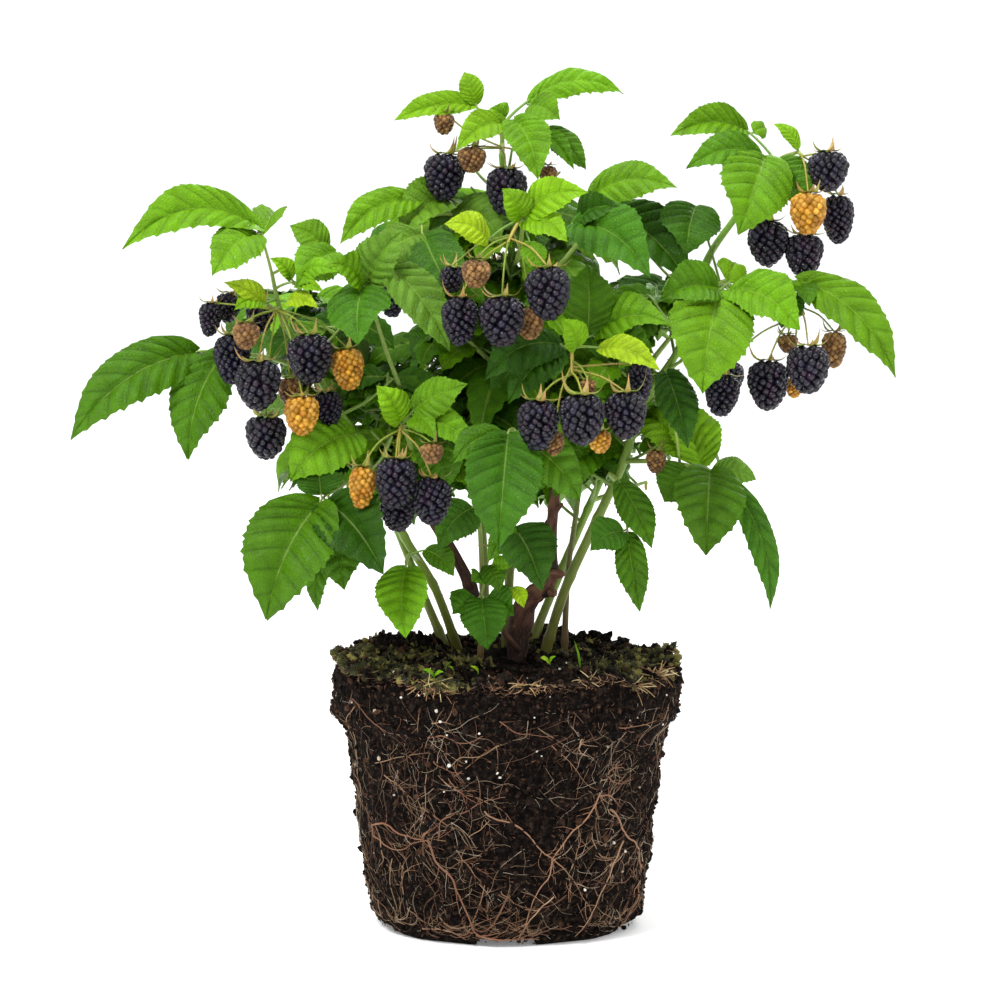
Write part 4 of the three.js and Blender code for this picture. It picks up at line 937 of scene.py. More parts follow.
# ---- Twigs ----
# Each leafy shoot has a stem that grows out of a cane, a petiole to each compound leaf, and a rib that bears
# the fruit on hairy stalks. The shoots seen in front are laid out one by one, and the others grow by rule.
STEM_RADII = (1.4, 0.9)
PETIOLE_RADII = (0.85, 0.6)
STALK_RADIUS = 0.55
PEDICEL_RADII = (0.5, 0.42)
LEAFLET_STEP = 2.6
BERRY_CORE = 0.95
LEAFLET_STALK = 3
GOLDEN_TURN = 2.39996
HAIR_THICK = 0.07 * MM
HAIR_HOOK = 0.1
MIDDLE_DEPTH = 0.07
PETIOLE_GREENS = [(118, 148, 62), (132, 156, 70), (104, 140, 54)]
RIB_GREENS = [(150, 160, 70), (168, 152, 72), (140, 156, 64)]
PEDICEL_GREENS = [(128, 142, 44), (142, 146, 52), (116, 136, 42), (150, 136, 58)]
SHOOTS = {
    "left_arm_top": ("cane_left", 1, [(-114, 320, -41), (-117, 334, -40)], [
        ((-124, 358, -40), [(-192, 346, -62, 23, "n"), (-147, 333, -72, 24, "n"), (-114, 364, -8, 16, "n")]),
        ((-85, 345, -46), [(-105, 328, -66, 23, "n"), (-108, 358, -42, 16, "n")]),
        ((-121, 319, -50), [(-141, 330, -66, 11, "y"), (-136, 316, -68, 11, "b")]),
        ((-109, 320, -52), [(-94, 317, -72, 10, "y")]),
        ((-104, 330, -58), [(-83, 335, -74, 11, "n"), (-118, 342, -62, 9, "b"), (-91, 325, -70, 8, "b")]),
    ], (-115, 316, -46), [
        (-124, 278, -64, 22, 25, "k"), (-98, 291, -60, 22, 25, "k"), (-120, 252, -54, 20, 22, "k"),
        (-137, 291, -46, 18, 25, "k"), (-123, 312, -26, 14, 16, "k"), (-89, 266, -44, 15, 18, "k"),
        (-79, 286, -52, 16, 21, "o"), (-102, 263, -61, 17, 20, "o"), (-130, 303, -68, 13, 13, "t"),
        (-148, 311, -40, 11, 17, "k"), (-139, 317, -30, 12, 15, "k"), (-108, 275, -42, 12, 14, "t"),
    ]),
    "left_arm_low": ("cane_left", 0.86, [(-118, 292, -22), (-146, 295, -24)], [
        ((-155, 295, -24), [(-218, 251, -44, 31, "m")]),
        ((-140, 296, -26), [(-159, 241, -46, 30, "m")]),
    ], None, []),
    "left_shoulder": ("old_cane_left", 1, [(-50, 268, -22), (-60, 296, -34), (-68, 322, -50)], [
        ((-71, 328, -58), [(-74, 299, -84, 31, "v"), (-89, 339, -74, 18, "n"),
                           (-51, 356, -70, 22, "g")]),
        ((-60, 339, -58), [(-28, 295, -74, 22, "g")]),
    ], (-64, 322, -42), [(-57, 321, -38, 13, 18, "k")]),
    "left_crown": ("cane_centre", 0.84, [(-12, 352, -4), (-28, 364, -14), (-42, 362, -20)], [
        ((-45, 371, -16), [(-83, 349, -34, 20, "n")]),
        ((-26, 371, -4), [(-54, 353, -26, 24, "g"), (-2, 349, -22, 24, "g")]),
        ((-42, 354, -36), [(-64, 337, -52, 24, "g"), (-26, 322, -70, 30, "v")]),
    ], None, []),
    "top_spray": ("cane_centre", 1, [(-2, 402, -1), (-3, 407, -2)], [
        ((-16, 418, 2), [(-56, 411, -12, 14, "b"), (-21, 435, 6, 12, "b")]),
        ((12, 421, 10), [(59, 424, 14, 16, "n"), (27, 411, -8, 17, "n")]),
        ((4, 411, -12), [(16, 381, -38, 22, "n"), (-25, 396, -30, 17, "b"), (-8, 417, -10, 12, "n")]),
        ((19, 406, 2), [(40, 386, -6, 14, "m"), (34, 386, -18, 10, "m")]),
    ], (-2, 397, -10), [
        (-31, 382, -16, 20, 24, "k"), (0, 375, -24, 20, 24, "k"), (-17, 391, -24, 14, 13, "t"),
        (-31, 409, -10, 10, 11, "t"), (21, 383, -4, 9, 10, "t"),
    ]),
    "crown_front": ("cane_centre", 0.78, [(6, 342, -20), (8, 356, -58), (7, 361, -74)], [
        ((8, 362, -80), [(-2, 377, -86, 15, "b"), (41, 375, -90, 18, "b"), (31, 350, -98, 16, "b")]),
        ((-9, 351, -88), [(-31, 359, -94, 15, "y")]),
        ((12, 350, -88), [(16, 334, -98, 12, "n")]),
    ], (1, 350, -86), [
        (-2, 310, -102, 22, 25, "k"), (-23, 310, -94, 18, 24, "k"), (21, 324, -106, 22, 26, "k"),
        (-15, 334, -104, 14, 14, "t"), (-27, 331, -84, 12, 13, "k"), (12, 309, -84, 14, 16, "t"),
    ]),
    "crown_right": ("cane_centre", 0.72, [(22, 334, -4), (38, 352, -22), (46, 362, -26)], [
        ((33, 359, -48), [(72, 333, -82, 31, "v"), (58, 367, -62, 16, "d")]),
        ((42, 372, -24), [(86, 377, -36, 22, "n")]),
        ((52, 366, -8), [(92, 329, -32, 28, "d")]),
    ], None, []),
    "right_top": ("cane_right", 1, [(138, 392, -8), (146, 395, -11)], [
        ((130, 393, -22), [(116, 354, -50, 36, "n"), (90, 387, -38, 20, "m"), (150, 367, -30, 26, "m")]),
        ((120, 406, 0), [(82, 403, -14, 17, "n"), (130, 407, 8, 10, "n")]),
        ((146, 397, -12), [(134, 409, -8, 8, "b")]),
    ], (148, 393, -14), [
        (161, 385, -36, 20, 20, "k"), (151, 364, -46, 18, 21, "o"), (166, 361, -24, 16, 25, "k"),
        (131, 349, -34, 20, 23, "k"), (149, 343, -32, 19, 22, "k"),
    ]),
    "right_middle": ("cane_right", 0.72, [(108, 330, -24), (124, 332, -36), (142, 328, -38)], [
        ((95, 368, -16), [(90, 344, -34, 30, "v")]),
        ((107, 326, -50), [(98, 274, -80, 41, "n"), (77, 321, -64, 24, "m"), (147, 306, -68, 27, "n"),
                           (115, 340, -32, 16, "b")]),
        ((146, 331, -40), [(195, 282, -58, 24, "n"), (152, 318, -58, 14, "m"), (138, 307, -50, 18, "v")]),
    ], (149, 314, -42), [
        (108, 273, -54, 17, 21, "k"), (131, 278, -58, 20, 25, "k"), (151, 286, -66, 21, 24, "k"),
        (164, 296, -46, 12, 18, "t"), (144, 277, -44, 9, 10, "o"), (141, 299, -50, 10, 9, "t"),
    ]),
    "right_low": ("cane_right", 0.4, [(80, 240, -12), (98, 237, -26)], [
        ((102, 236, -34), [(100, 193, -62, 35, "m"), (125, 231, -24, 14, "g")]),
        ((112, 230, -32), [(132, 165, -42, 15, "v")]),
        ((98, 238, -14), [(86, 268, 6, 26, "b"), (66, 263, 16, 28, "b"), (79, 220, -18, 22, "m")]),
        ((80, 285, -34), [(91, 247, -54, 20, "d")]),
    ], (76, 246, -14), [(75, 240, -22, 10, 12, "t")]),
    "centre_truss": ("cane_centre", 0.6, [(14, 282, -12), (26, 296, -54), (33, 297, -86)], [
        ((35, 297, -92), [(27, 312, -102, 14, "b")]),
        ((47, 297, -90), [(77, 286, -104, 14, "y")]),
        ((46, 304, -60), [(82, 309, -78, 24, "n"), (74, 294, -72, 20, "m"), (41, 339, -60, 26, "m")]),
        ((27, 299, -68), [(-11, 281, -86, 24, "d"), (1, 269, -84, 20, "d")]),
    ], (33, 284, -94), [
        (16, 258, -112, 20, 25, "k"), (38, 261, -118, 22, 25, "k"), (60, 263, -110, 20, 23, "k"),
        (67, 279, -90, 12, 20, "k"), (24, 249, -98, 10, 12, "t"),
        (47, 250, -98, 11, 11, "o"), (41, 277, -104, 8, 8, "t"),
    ]),
    "centre_low": ("cane_centre", 0.46, [(6, 250, -6), (4, 256, -52), (2, 256, -88)], [
        ((1, 254, -96), [(-4, 196, -122, 36, "v"), (37, 220, -96, 24, "m"), (-27, 239, -106, 18, "m")]),
        ((4, 207, -66), [(18, 176, -88, 28, "d"), (-9, 190, -82, 12, "m")]),
    ], None, []),
    "left_centre": ("old_cane_left", 0.94, [(-49, 252, -40), (-52, 258, -60)], [
        ((-53, 260, -64), [(-65, 278, -74, 16, "b")]),
        ((-46, 266, -66), [(-19, 279, -82, 19, "n"), (-15, 247, -84, 16, "n"), (-35, 251, -86, 12, "n")]),
        ((-38, 258, -60), [(-18, 240, -82, 13, "m"), (-30, 226, -56, 22, "m")]),
    ], (-53, 256, -68), [
        (-55, 229, -88, 20, 25, "k"), (-37, 220, -84, 19, 24, "k"), (-54, 214, -72, 17, 18, "k"),
        (-72, 227, -80, 13, 21, "o"), (-37, 244, -90, 11, 10, "t"),
    ]),
    "left_low": ("cane_left", 0.52, [(-76, 231, -36), (-89, 224, -52)], [
        ((-75, 254, -40), [(-108, 230, -60, 34, "n")]),
        ((-93, 220, -62), [(-120, 161, -84, 43, "m"), (-94, 238, -56, 22, "v"), (-61, 184, -88, 32, "d")]),
        ((-86, 205, -50), [(-81, 176, -64, 22, "m"), (-94, 165, -54, 12, "m")]),
    ], None, []),
    "left_foot": ("cane_left", 0.3, [(-48, 194, -30), (-50, 190, -48)], [
        ((-50, 187, -58), [(-50, 152, -72, 25, "n")]),
        ((-40, 196, -36), [(-26, 183, -42, 13, "m")]),
    ], None, []),
    "foot_leaves": ("young_shoot", 0.45, [(-13, 172, -16), (-12, 171, -22)], [
        ((-12, 171, -24), [(-9, 146, -42, 23, "v"), (4, 163, -32, 19, "v"), (-27, 164, -34, 20, "v")]),
        ((-9, 188, -20), [(-3, 175, -32, 13, "m"), (3, 188, -28, 10, "n"), (-17, 180, -30, 11, "m")]),
        ((3, 177, -24), [(9, 167, -32, 8, "y")]),
    ], None, []),
    "shoot_leaf": ("young_shoot", 1, [(-15, 217, -19), (-16, 218, -24)], [
        ((-17, 217, -28), [(-34, 197, -44, 23, "v")]),
    ], None, []),
    "right_foot": ("cane_right", 0.36, [(52, 234, -8), (57, 230, -26)], [
        ((57, 230, -28), [(73, 197, -44, 17, "m")]),
        ((50, 232, 16), [(40, 248, 24, 20, "d")]),
        ((61, 204, -36), [(67, 165, -50, 16, "m"), (42, 196, -50, 19, "v")]),
    ], None, []),
    "young_tip": ("young_cane", 1, [(42, 242, 12), (44, 245, 10)], [
        ((46, 247, 8), [(24, 222, -14, 24, "m"), (60, 222, 36, 20, "m"), (36, 268, -10, 20, "m")]),
    ], None, []),
}
HIDDEN_SHOOTS = {
    "heart_left": ("cane_centre", 0.55, [(-14, 296, 0), (-34, 318, -8), (-46, 334, -10)],
                   6, 22, 46, 0, (-100, 16, 222, 362), 11),
    "heart_right": ("cane_centre", 0.52, [(24, 286, 16), (46, 304, 14), (58, 326, 12)],
                    6, 22, 46, 0, (-16, 104, 228, 364), 23),
    "heart_low": ("cane_centre", 0.4, [(-14, 252, 10), (-30, 262, -6), (-40, 280, -12)],
                  5, 20, 42, 0, (-92, 40, 205, 326), 31),
    "back_left_tip": ("back_cane_left", 1, [(-86, 304, 112), (-92, 318, 110)],
                      6, 32, 56, 4, (-138, 0, 226, 342), 5),
    "back_left_low": ("back_cane_left", 0.55, [(-72, 238, 110), (-82, 244, 122)],
                      5, 30, 55, 2, (-116, 0, 194, 298), 47),
    "back_right_tip": ("back_cane_right", 1, [(86, 308, 106), (92, 322, 104)],
                       6, 32, 56, 4, (0, 118, 226, 346), 8),
    "back_right_low": ("back_cane_right", 0.5, [(58, 226, 104), (70, 230, 122)],
                       5, 30, 55, 2, (0, 110, 194, 298), 61),
    "back_middle_tip": ("back_cane_middle", 1, [(-22, 346, 84), (-12, 356, 94)],
                        7, 28, 52, 4, (-76, 78, 228, 362), 17),
    "back_middle_low": ("back_cane_middle", 0.6, [(-4, 262, 106), (0, 268, 124)],
                        6, 30, 55, 3, (-86, 86, 188, 318), 29),
}
FINE_TWIGS = [
    ("cane_centre", 0.4, 0.96, 22, (-104, 100, 214, 372)),
    ("cane_right", 0.34, 0.8, 12, (-10, 112, 222, 372)),
    ("cane_left", 0.5, 0.94, 8, (-118, -10, 222, 352)), ("old_cane_left", 0.7, 0.98, 5, (-92, 20, 216, 340)),
    ("back_cane_left", 0.4, 0.98, 9, (-128, 20, 206, 345)),
    ("back_cane_right", 0.4, 0.98, 9, (-20, 116, 206, 348)),
    ("back_cane_middle", 0.4, 0.98, 12, (-90, 90, 200, 366)),
]
FRONT_LIMIT = -0.03
BACK_FRONT_LIMIT = 0.03
DEEP_LIMIT = 0.185
SKY = [
    (-64, -40, 298, 330), (58, 76, 326, 350), (76, 104, 268, 306), (60, 92, 192, 238), (42, 60, 192, 222),
    (-32, -14, 198, 222), (-8, 8, 338, 350), (-104, -88, 196, 222), (-120, -100, 236, 262),
]


def unit(way):
    """A direction, one unit long."""
    return way / np.linalg.norm(way)


def shoot_stem(cane, along, stem, tint):
    """The course of a shoot's stem, from inside its cane, which also goes to the twigs."""
    line = cane_lines[cane]
    start = line[round(along * (len(line) - 1))]
    course = smooth_course([start] + [placed(spot) for spot in stem], 30)
    twig_parts.append(tube(course, np.linspace(*STEM_RADII, len(course)) * MM, 8, linear(*tint)))
    return course


def nearest(line, point):
    """The point on a stem, past its foot, that lies nearest to this one."""
    past = line[len(line) // 3:]
    return past[np.argmin(np.linalg.norm(past - point, axis=1))]


def bent(start, end, rise, count):
    """A shallow arc from start to end, raised in its middle."""
    share = np.linspace(0, 1, count)[:, None]
    arc = np.array([0, 0, rise]) * np.linalg.norm(end - start) * 4 * share * (1 - share)
    return start + (end - start) * share + arc


def compound_leaf(line, joint, blades):
    """The petiole and stalks of a leaf, and the foot, tip, width and tint of each of its leaflets."""
    root = nearest(line, joint)
    back = unit(root - joint)
    green = linear(*rng.choice(PETIOLE_GREENS))
    radii = np.linspace(*PETIOLE_RADII, 9) * MM * min(1, 0.62 + np.linalg.norm(blades[0][0] - joint) / 0.12)
    twig_parts.append(tube(bent(root, joint, 0.05, 9), radii, 6, green))
    for i, (tip, width, tint) in enumerate(blades):
        foot = joint
        if i:
            start = joint + back * i * LEAFLET_STEP * MM
            foot = start + unit(tip - start) * LEAFLET_STALK * MM
            twig_parts.append(tube(bent(start, foot, 0.0, 4), np.full(4, STALK_RADIUS * MM), 5, green))
        leaflets.append((foot, tip, width * MM, tint))


def truss(line, hub, fruit):
    """A rib from the stem to its hub, and along it a hairy stalk to each fruit."""
    root = nearest(line, hub)
    rib = bent(root, hub, 0.03, 8)
    tone = np.array(linear(*rng.choice(RIB_GREENS)))
    twig_parts.append(tube(rib, np.linspace(1.0, 0.75, 8) * MM, 6, tone))
    hair_parts.append(spikes_on(rib, np.full(8, 0.9 * MM), 46, 0.9 * MM, HAIR_THICK, HAIR_HOOK, tone * 1.2))
    for i, (middle, width, length, kind) in enumerate(fruit):
        start = root + (hub - root) * (1 - 0.7 * (i % 8) / 8)
        top = middle + (0, 0, length / 2)
        swing = top - start
        over = start + swing * (0.56, 0.56, 0.38) + (0, 0, 0.03 * np.linalg.norm(swing))
        course = smooth_course([start, over, top + (0, 0, 0.0006)], 12)
        radii = np.linspace(*PEDICEL_RADII, 12) * MM
        tone = np.array(linear(*rng.choice(PEDICEL_GREENS)))
        twig_parts.append(tube(course, radii, 6, tone))
        hair_parts.append(spikes_on(course, radii, 52, 1.0 * MM, HAIR_THICK, HAIR_HOOK, tone * 1.15))
        lean = unit(course[-2] - course[-4] + (0, 0, -0.02))
        berries.append((middle, width, length, kind, lean))


def hides_sky(across, up):
    """Whether any of these places on the elevation lies where the sky shows through the bush."""
    return any(((across > a) & (across < b) & (up > c) & (up < d)).any() for a, b, c, d in SKY)


def over_cane(points, cane, low, high):
    """Whether any of these points lies before a cane, as seen from the front, between two heights."""
    course = cane_lines[cane]
    cane_across, cane_up = elevation(course)
    for point, across, up in zip(points, *elevation(points)):
        apart = np.hypot(cane_across - across, cane_up - up)
        before = point[1] < course[np.argmin(apart)][1] + 4 * MM
        if low < up < high and apart.min() < 9 and before:
            return True
    return False


def grown_by_rule(line, count, petiole, leaflet, fruit, reach, seed, palette, front):
    """Leaves and fruit that turn round a stem by the golden angle, kept within its reach."""
    draw = np.random.default_rng(seed)
    left, right, low, high = reach
    grown = 0
    for i in range(count * 14):
        if grown == count:
            break
        share = 0.3 + 0.7 * ((i % count) + 0.5) / count
        start = line[int(share * (len(line) - 1))]
        turn = seed + i * GOLDEN_TURN + draw.uniform(-0.35, 0.35)
        out = unit(np.array([math.cos(turn), math.sin(turn), draw.uniform(0.1, 0.7)]))
        joint = start + out * petiole * MM * draw.uniform(0.75, 1.25)
        spread = 0.55 if start[1] < MIDDLE_DEPTH else 1
        ahead = unit(np.array([math.cos(turn), spread * math.sin(turn), -draw.uniform(0.25, 0.85)]))
        normal = unit(np.array([0, 0, 1]) - ahead * ahead[2])
        long = leaflet * MM * draw.uniform(0.85, 1.15)
        tint = palette[draw.integers(len(palette))]
        blades = []
        for hand in (0, 1, -1):
            swing = hand * draw.uniform(1.05, 1.3)
            heading = ahead * math.cos(swing) + np.cross(normal, ahead) * math.sin(swing)
            heading = heading - (0, 0, abs(hand) * 0.25)
            size = long * (0.8 if hand else 1)
            blades.append((joint + unit(heading) * size, size * 0.56 / MM, tint))
        tips = np.array([blade[0] for blade in blades] + [joint])
        across, up = elevation(tips)
        if across.min() < left or across.max() > right or up.min() < low or up.max() > high:
            continue
        middles = np.vstack([tips, (tips[:3] + joint) / 2])
        deep = middles[:, 1]
        if hides_sky(*elevation(middles)) or deep.min() < front or deep.max() > DEEP_LIMIT:
            continue
        if over_cane(middles, "cane_right", 205, 350):
            continue
        compound_leaf(line, joint, blades)
        grown += 1
    if fruit:
        hub = line[-1] - (0, 0, 0.004)
        bunch = []
        for i in range(fruit):
            turn = seed * 2 + i * GOLDEN_TURN
            width, out = draw.uniform(15, 21) * MM, draw.uniform(12, 24) * MM
            middle = hub + (*spot_at(turn, out), -draw.uniform(20, 44) * MM)
            across, up = elevation(middle)
            if up[0] > 236 and not hides_sky(across, up):
                bunch.append((middle, width, width * 1.16, "k" if i % 4 != 3 else "o"))
        truss(line, hub, bunch)


twig_parts, hair_parts, leaflets, berries = [], [], [], []
leaf_ends = {}
for name, (cane, along, stem, leaves, hub, fruit) in SHOOTS.items():
    line = shoot_stem(cane, along, stem, (124, 148, 66))
    for joint, blades in leaves:
        compound_leaf(line, placed(joint), [(placed(blade), *blade[3:]) for blade in blades])
    if hub:
        bunch = [(placed(b), b[3] * BERRY_CORE * MM, b[4] * BERRY_CORE * MM, b[5]) for b in fruit]
        truss(line, placed(hub), bunch)
    leaf_ends[name] = len(leaflets)
seen_fruit = len(berries)
for name, (cane, along, stem, *habit) in HIDDEN_SHOOTS.items():
    line = shoot_stem(cane, along, stem, (118, 142, 62))
    behind = name.startswith("back")
    # Painted shade: leaves in the heart of the bush take the dark tints most often, and those at the back
    # often too.
    palette, front = ("dmvnm", BACK_FRONT_LIMIT) if behind else ("dmvdm", FRONT_LIMIT)
    grown_by_rule(line, *habit, palette, front)
    leaf_ends[name] = len(leaflets)

# The canes' finer twigs fill the heart of the bush. No leaf of theirs hangs where the sky shows through.
for cane, low, high, count, reach in FINE_TWIGS:
    line = cane_lines[cane]
    for i in range(count):
        at = line[int((low + (high - low) * (i + 0.5) / count) * (len(line) - 1))]
        turn = i * GOLDEN_TURN + len(cane)
        way = unit(np.array([math.cos(turn), math.sin(turn), 0.55]))
        twig = smooth_course([at, at + way * 16 * MM, at + way * 30 * MM + (0, 0, 0.004)], 10)
        twig_parts.append(tube(twig, np.linspace(1.0, 0.6, 10) * MM, 5, linear(112, 140, 58)))
        grown_by_rule(twig, 3, 13, 38, 0, reach, 100 + i + 40 * len(cane), "nnmvn", FRONT_LIMIT)
leaf_ends["fine_twigs"] = len(leaflets)

young_bark = tinted_material("young_bark", 0.5, 0.35, 500, 0.18, 0.0002)
twigs = joined("twigs", twig_parts, young_bark)
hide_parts(*SHOOTS, *HIDDEN_SHOOTS)
hairs = joined("stalk_hairs", hair_parts, young_bark, smooth=False)

# ---- Leaves ----
# Raspberry leaflets: thin, toothed twice over, drawn out to a point, with the side veins sunk in furrows and
# the tissue between them puffed up. Upper faces are fresh green and undersides pale.
# The tints run from dark to bright: partly the leaflets' own tones, and partly painted shade, as leaflets in
# the shade of others and deep in the bush are given the darker ones.
LEAF_TINTS = {
    "d": (37, 73, 3), "m": (63, 105, 4), "n": (87, 132, 8), "b": (103, 147, 10), "y": (138, 170, 20),
    "g": (84, 122, 28), "v": (53, 96, 9),
}
ARCH = 0.15
SMALL_LEAFLET = 0.03
WIDTH_TABLE = (
    (0, 0.012, 0.04, 0.09, 0.16, 0.25, 0.36, 0.48, 0.6, 0.72, 0.83, 0.92, 0.97, 1.0),
    (0.08, 0.24, 0.42, 0.62, 0.8, 0.93, 1.0, 0.995, 0.9, 0.72, 0.46, 0.21, 0.085, 0.015),
)
LEAF_PIECES = {
    "leaves_left": ["left_arm_top", "left_arm_low", "left_shoulder", "left_centre", "left_low", "left_foot"],
    "leaves_crown": ["left_crown", "top_spray", "crown_front", "crown_right", "centre_truss"],
    "leaves_right": ["right_top", "right_middle", "right_low", "right_foot"],
    "leaves_low": ["centre_low", "foot_leaves", "shoot_leaf", "young_tip"],
    "leaves_heart": ["heart_left", "heart_right", "heart_low", "fine_twigs"],
    "leaves_back": ["back_left_tip", "back_left_low", "back_right_tip", "back_right_low", "back_middle_tip",
                    "back_middle_low"],
}


def blade_shape(veins, columns, teeth, puffs):
    """A leaflet one unit long and one half unit wide, row by row from its foot, along its side veins."""
    per_vein = len(teeth)
    rows = np.arange(veins * per_vein + 1)
    share = rows / rows[-1]
    tooth = np.array(teeth)[rows % per_vein]
    puff = np.array(puffs)[rows % per_vein]
    half = np.interp(share, *WIDTH_TABLE) * (1 - (1 - tooth) * (1 + 0.5 * share))
    edge = share - 0.055 * np.maximum(0, 1 - share / 0.2) + 0.014 * (tooth == 1)
    spine = share - 0.2 * np.sin(np.pi * share**0.85)
    edge[-1], spine[-1], spine[0] = 1.0, 0.992, 0.0
    spine = np.maximum.accumulate(np.maximum(spine, share * 0.35))
    out = np.concatenate([-np.array(columns)[::-1], [0], columns])
    width = np.abs(out)
    along = spine[:, None] + (edge - spine)[:, None] * width[None] ** 1.15
    across = half[:, None] * out[None]
    swell = np.sin(np.pi * np.clip(width * 0.94 + 0.03, 0, 1)) ** 0.8
    relief = puff[:, None] * np.where(width > 0, swell * 0.85 + 0.15, 0) * np.minimum(1, half[:, None] * 1.6)
    relief[:, len(columns)] = -0.7
    # The rows of the side veins, where the leaf's colour is painted darker as painted shade in its furrows.
    furrow_shade = np.tile((rows % per_vein == 0)[:, None].astype(float), (1, len(out)))
    furrow_shade[:, [0, -1]] = 0.5
    midrib = np.zeros_like(furrow_shade)
    midrib[:, len(columns)] = 1
    wide = len(out)
    i, j = np.meshgrid(rows[:-1], np.arange(wide - 1), indexing="ij")
    a = (i * wide + j).ravel()
    faces = np.stack([a, a + 1, a + wide + 1, a + wide], 1)
    return along, across, relief, furrow_shade, midrib, np.tile(width, (len(rows), 1)), faces


fine_blade = blade_shape(8, [0.12, 0.36, 0.68, 1.0], [1.0, 0.94, 0.975, 0.94], [-1, 0.4, 1, 0.4])
plain_blade = blade_shape(6, [0.45, 1.0], [1.0, 0.9], [-1, 1])


def facing(point):
    """The way a leaf at this point turns its upper face: up and out from the middle of the bush."""
    deep = np.clip((point[1] - MIDDLE_DEPTH) / 0.09, -0.85, 0.8)
    return unit(np.array([point[0] / 0.22, deep, 0.62]))


def leaflet_mesh(foot, tip, width, tint, shape, level):
    """One leaflet: arched along its midrib, cupped across it, a little twisted and wavy at its edge."""
    along, across, relief, furrow_shade, midrib, edge, faces = shape
    run = tip - foot
    long = np.linalg.norm(run)
    ahead = run / long
    normal = facing(tip) * (1 - level) + np.array([0, 0, 1]) * level + rng.normal(0, 0.1, 3)
    if level == 0:
        normal = normal * (0.6, 1, 1) - (0, 0.5, 0)
    normal = unit(normal - ahead * (normal @ ahead))
    side = np.cross(ahead, normal)
    half = width / 2
    lift = ARCH * rng.uniform(0.75, 1.2) * long * 4 * along * (1 - along)
    out = np.abs(across)
    crest, droop = rng.uniform(0.35, 0.8), rng.uniform(0.15, 0.75)
    cup = half * (crest * out - droop * out**2) * np.minimum(1, 4 * (1.02 - along))
    ripple = along * rng.uniform(9, 17) + rng.uniform(0, 6) + 2.2 * np.sign(across)
    wave = 0.085 * half * np.sin(ripple) * edge**2
    twist = rng.normal(0, 0.22) * (along - 0.3)
    puffed = 0.027 * min(long, 2.2 * width) * relief
    sideways = half * across
    bow = (rng.normal(0, 0.03) + 0.11 * side[2]) * long * 4 * along * (1 - along)
    high = lift + cup + wave + puffed + sideways * twist
    points = foot + run * along[..., None] + side * (sideways + bow)[..., None] + normal * high[..., None]
    colour = np.array(linear(*LEAF_TINTS[tint])) * rng.uniform(0.86, 1.16)
    colour = colour * (1, rng.uniform(0.97, 1.03), rng.uniform(0.8, 1.25))
    marks = {"furrow_shade": furrow_shade.reshape(-1, 1), "midrib": midrib.reshape(-1, 1)}
    return points.reshape(-1, 3), faces, {"tint": np.tile(colour, (furrow_shade.size, 1)), **marks}


leaf_skin, tree, shader = new_material("leaf_skin", 0.42, 0.13)
furrow_shade, midrib = (surface_value(tree, name, "Fac") for name in ("furrow_shade", "midrib"))
mottled = grained_tint(tree, 110, 0.8, 1.22)[0]
# Painted shade: the colour is darkened along the side veins' furrows.
shaded_in_furrows = shaded(tree, mottled, mapped(tree, furrow_shade, 0.62, 1, 1.03, 0.79))
place = add_node(tree, "TexCoord", {})["Object"]
net = add_node(tree, "TexVoronoi", {"Vector": place, "Scale": 620}, feature="DISTANCE_TO_EDGE")["Distance"]
# Painted shade and light on the crinkle: the colour is darker along the sunken lines of the fine vein net and
# a little lighter on the cells between them.
net_shaded = shaded(tree, shaded_in_furrows, mapped(tree, net, 0, 0.16, 0.89, 1.05))
upper = blended(tree, mapped(tree, midrib, 0.72, 1, 0, 0.42), net_shaded, (*linear(150, 180, 74), 1))
under = blended(tree, 0.42, upper, (*linear(124, 156, 84), 1))
behind = add_node(tree, "NewGeometry", {})["Backfacing"]
set_inputs(tree, shader, {"Base Color": blended(tree, behind, upper, under)})
bump_from(tree, shader, net, 0.45, 0.0016)

starts = dict(zip(leaf_ends, [0, *leaf_ends.values()]))
for name, masses in LEAF_PIECES.items():
    seen = name not in ("leaves_heart", "leaves_back")
    parts = []
    for mass in masses:
        for foot, tip, width, tint in leaflets[starts[mass]:leaf_ends[mass]]:
            small = np.linalg.norm(tip - foot) < SMALL_LEAFLET
            shape = fine_blade if seen or name == "leaves_back" and not small else plain_blade
            level = 0 if seen else 0.2 if tip[1] < MIDDLE_DEPTH else 0.55
            parts.append(leaflet_mesh(foot, tip, width * (1.07 if seen else 1), tint, shape, level))
    piece = joined(name, parts, leaf_skin)
    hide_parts(*[mass for mass in masses if mass != "fine_twigs"])

# ---- Fruit ----
# Each fruit is a cluster of juicy drupelets round a core, broad at its shoulders and narrower at its nose.
# Most are ripe, near black and glossy, and a few are still gold or have dried to tan.
FRUIT_SHAPE = (
    (0, 0.06, 0.16, 0.3, 0.45, 0.6, 0.75, 0.87, 0.95, 1),
    (0.3, 0.7, 0.92, 1.0, 0.97, 0.88, 0.73, 0.54, 0.34, 0.0),
)
SMALL_FRUIT = 0.013
CAP_SIDES = 8
FRUIT_TINTS = {
    "k": [(18, 16, 28), (25, 21, 37), (13, 12, 21), (29, 17, 32)],
    "o": [(176, 126, 36), (186, 138, 50), (158, 106, 28)],
    "t": [(116, 84, 46), (98, 68, 40), (136, 102, 58)],
}
SEPALS = 5
SEPAL_HALF = 2.2 * MM
SEPAL_WIDTHS = [0.8, 1, 0.92, 0.72, 0.46, 0.22, 0.04]
SEPAL_GREEN = (124, 142, 52)
SEPAL_TIP = (164, 130, 74)
SEPAL_DRIED = (110, 82, 46)
cap = [(0, 0, 1)]
for polar in (0.62, 1.2, 1.8):
    cap += [(math.sin(polar) * math.cos(a), math.sin(polar) * math.sin(a), math.cos(polar))
            for a in np.arange(CAP_SIDES) * 2 * math.pi / CAP_SIDES + polar]
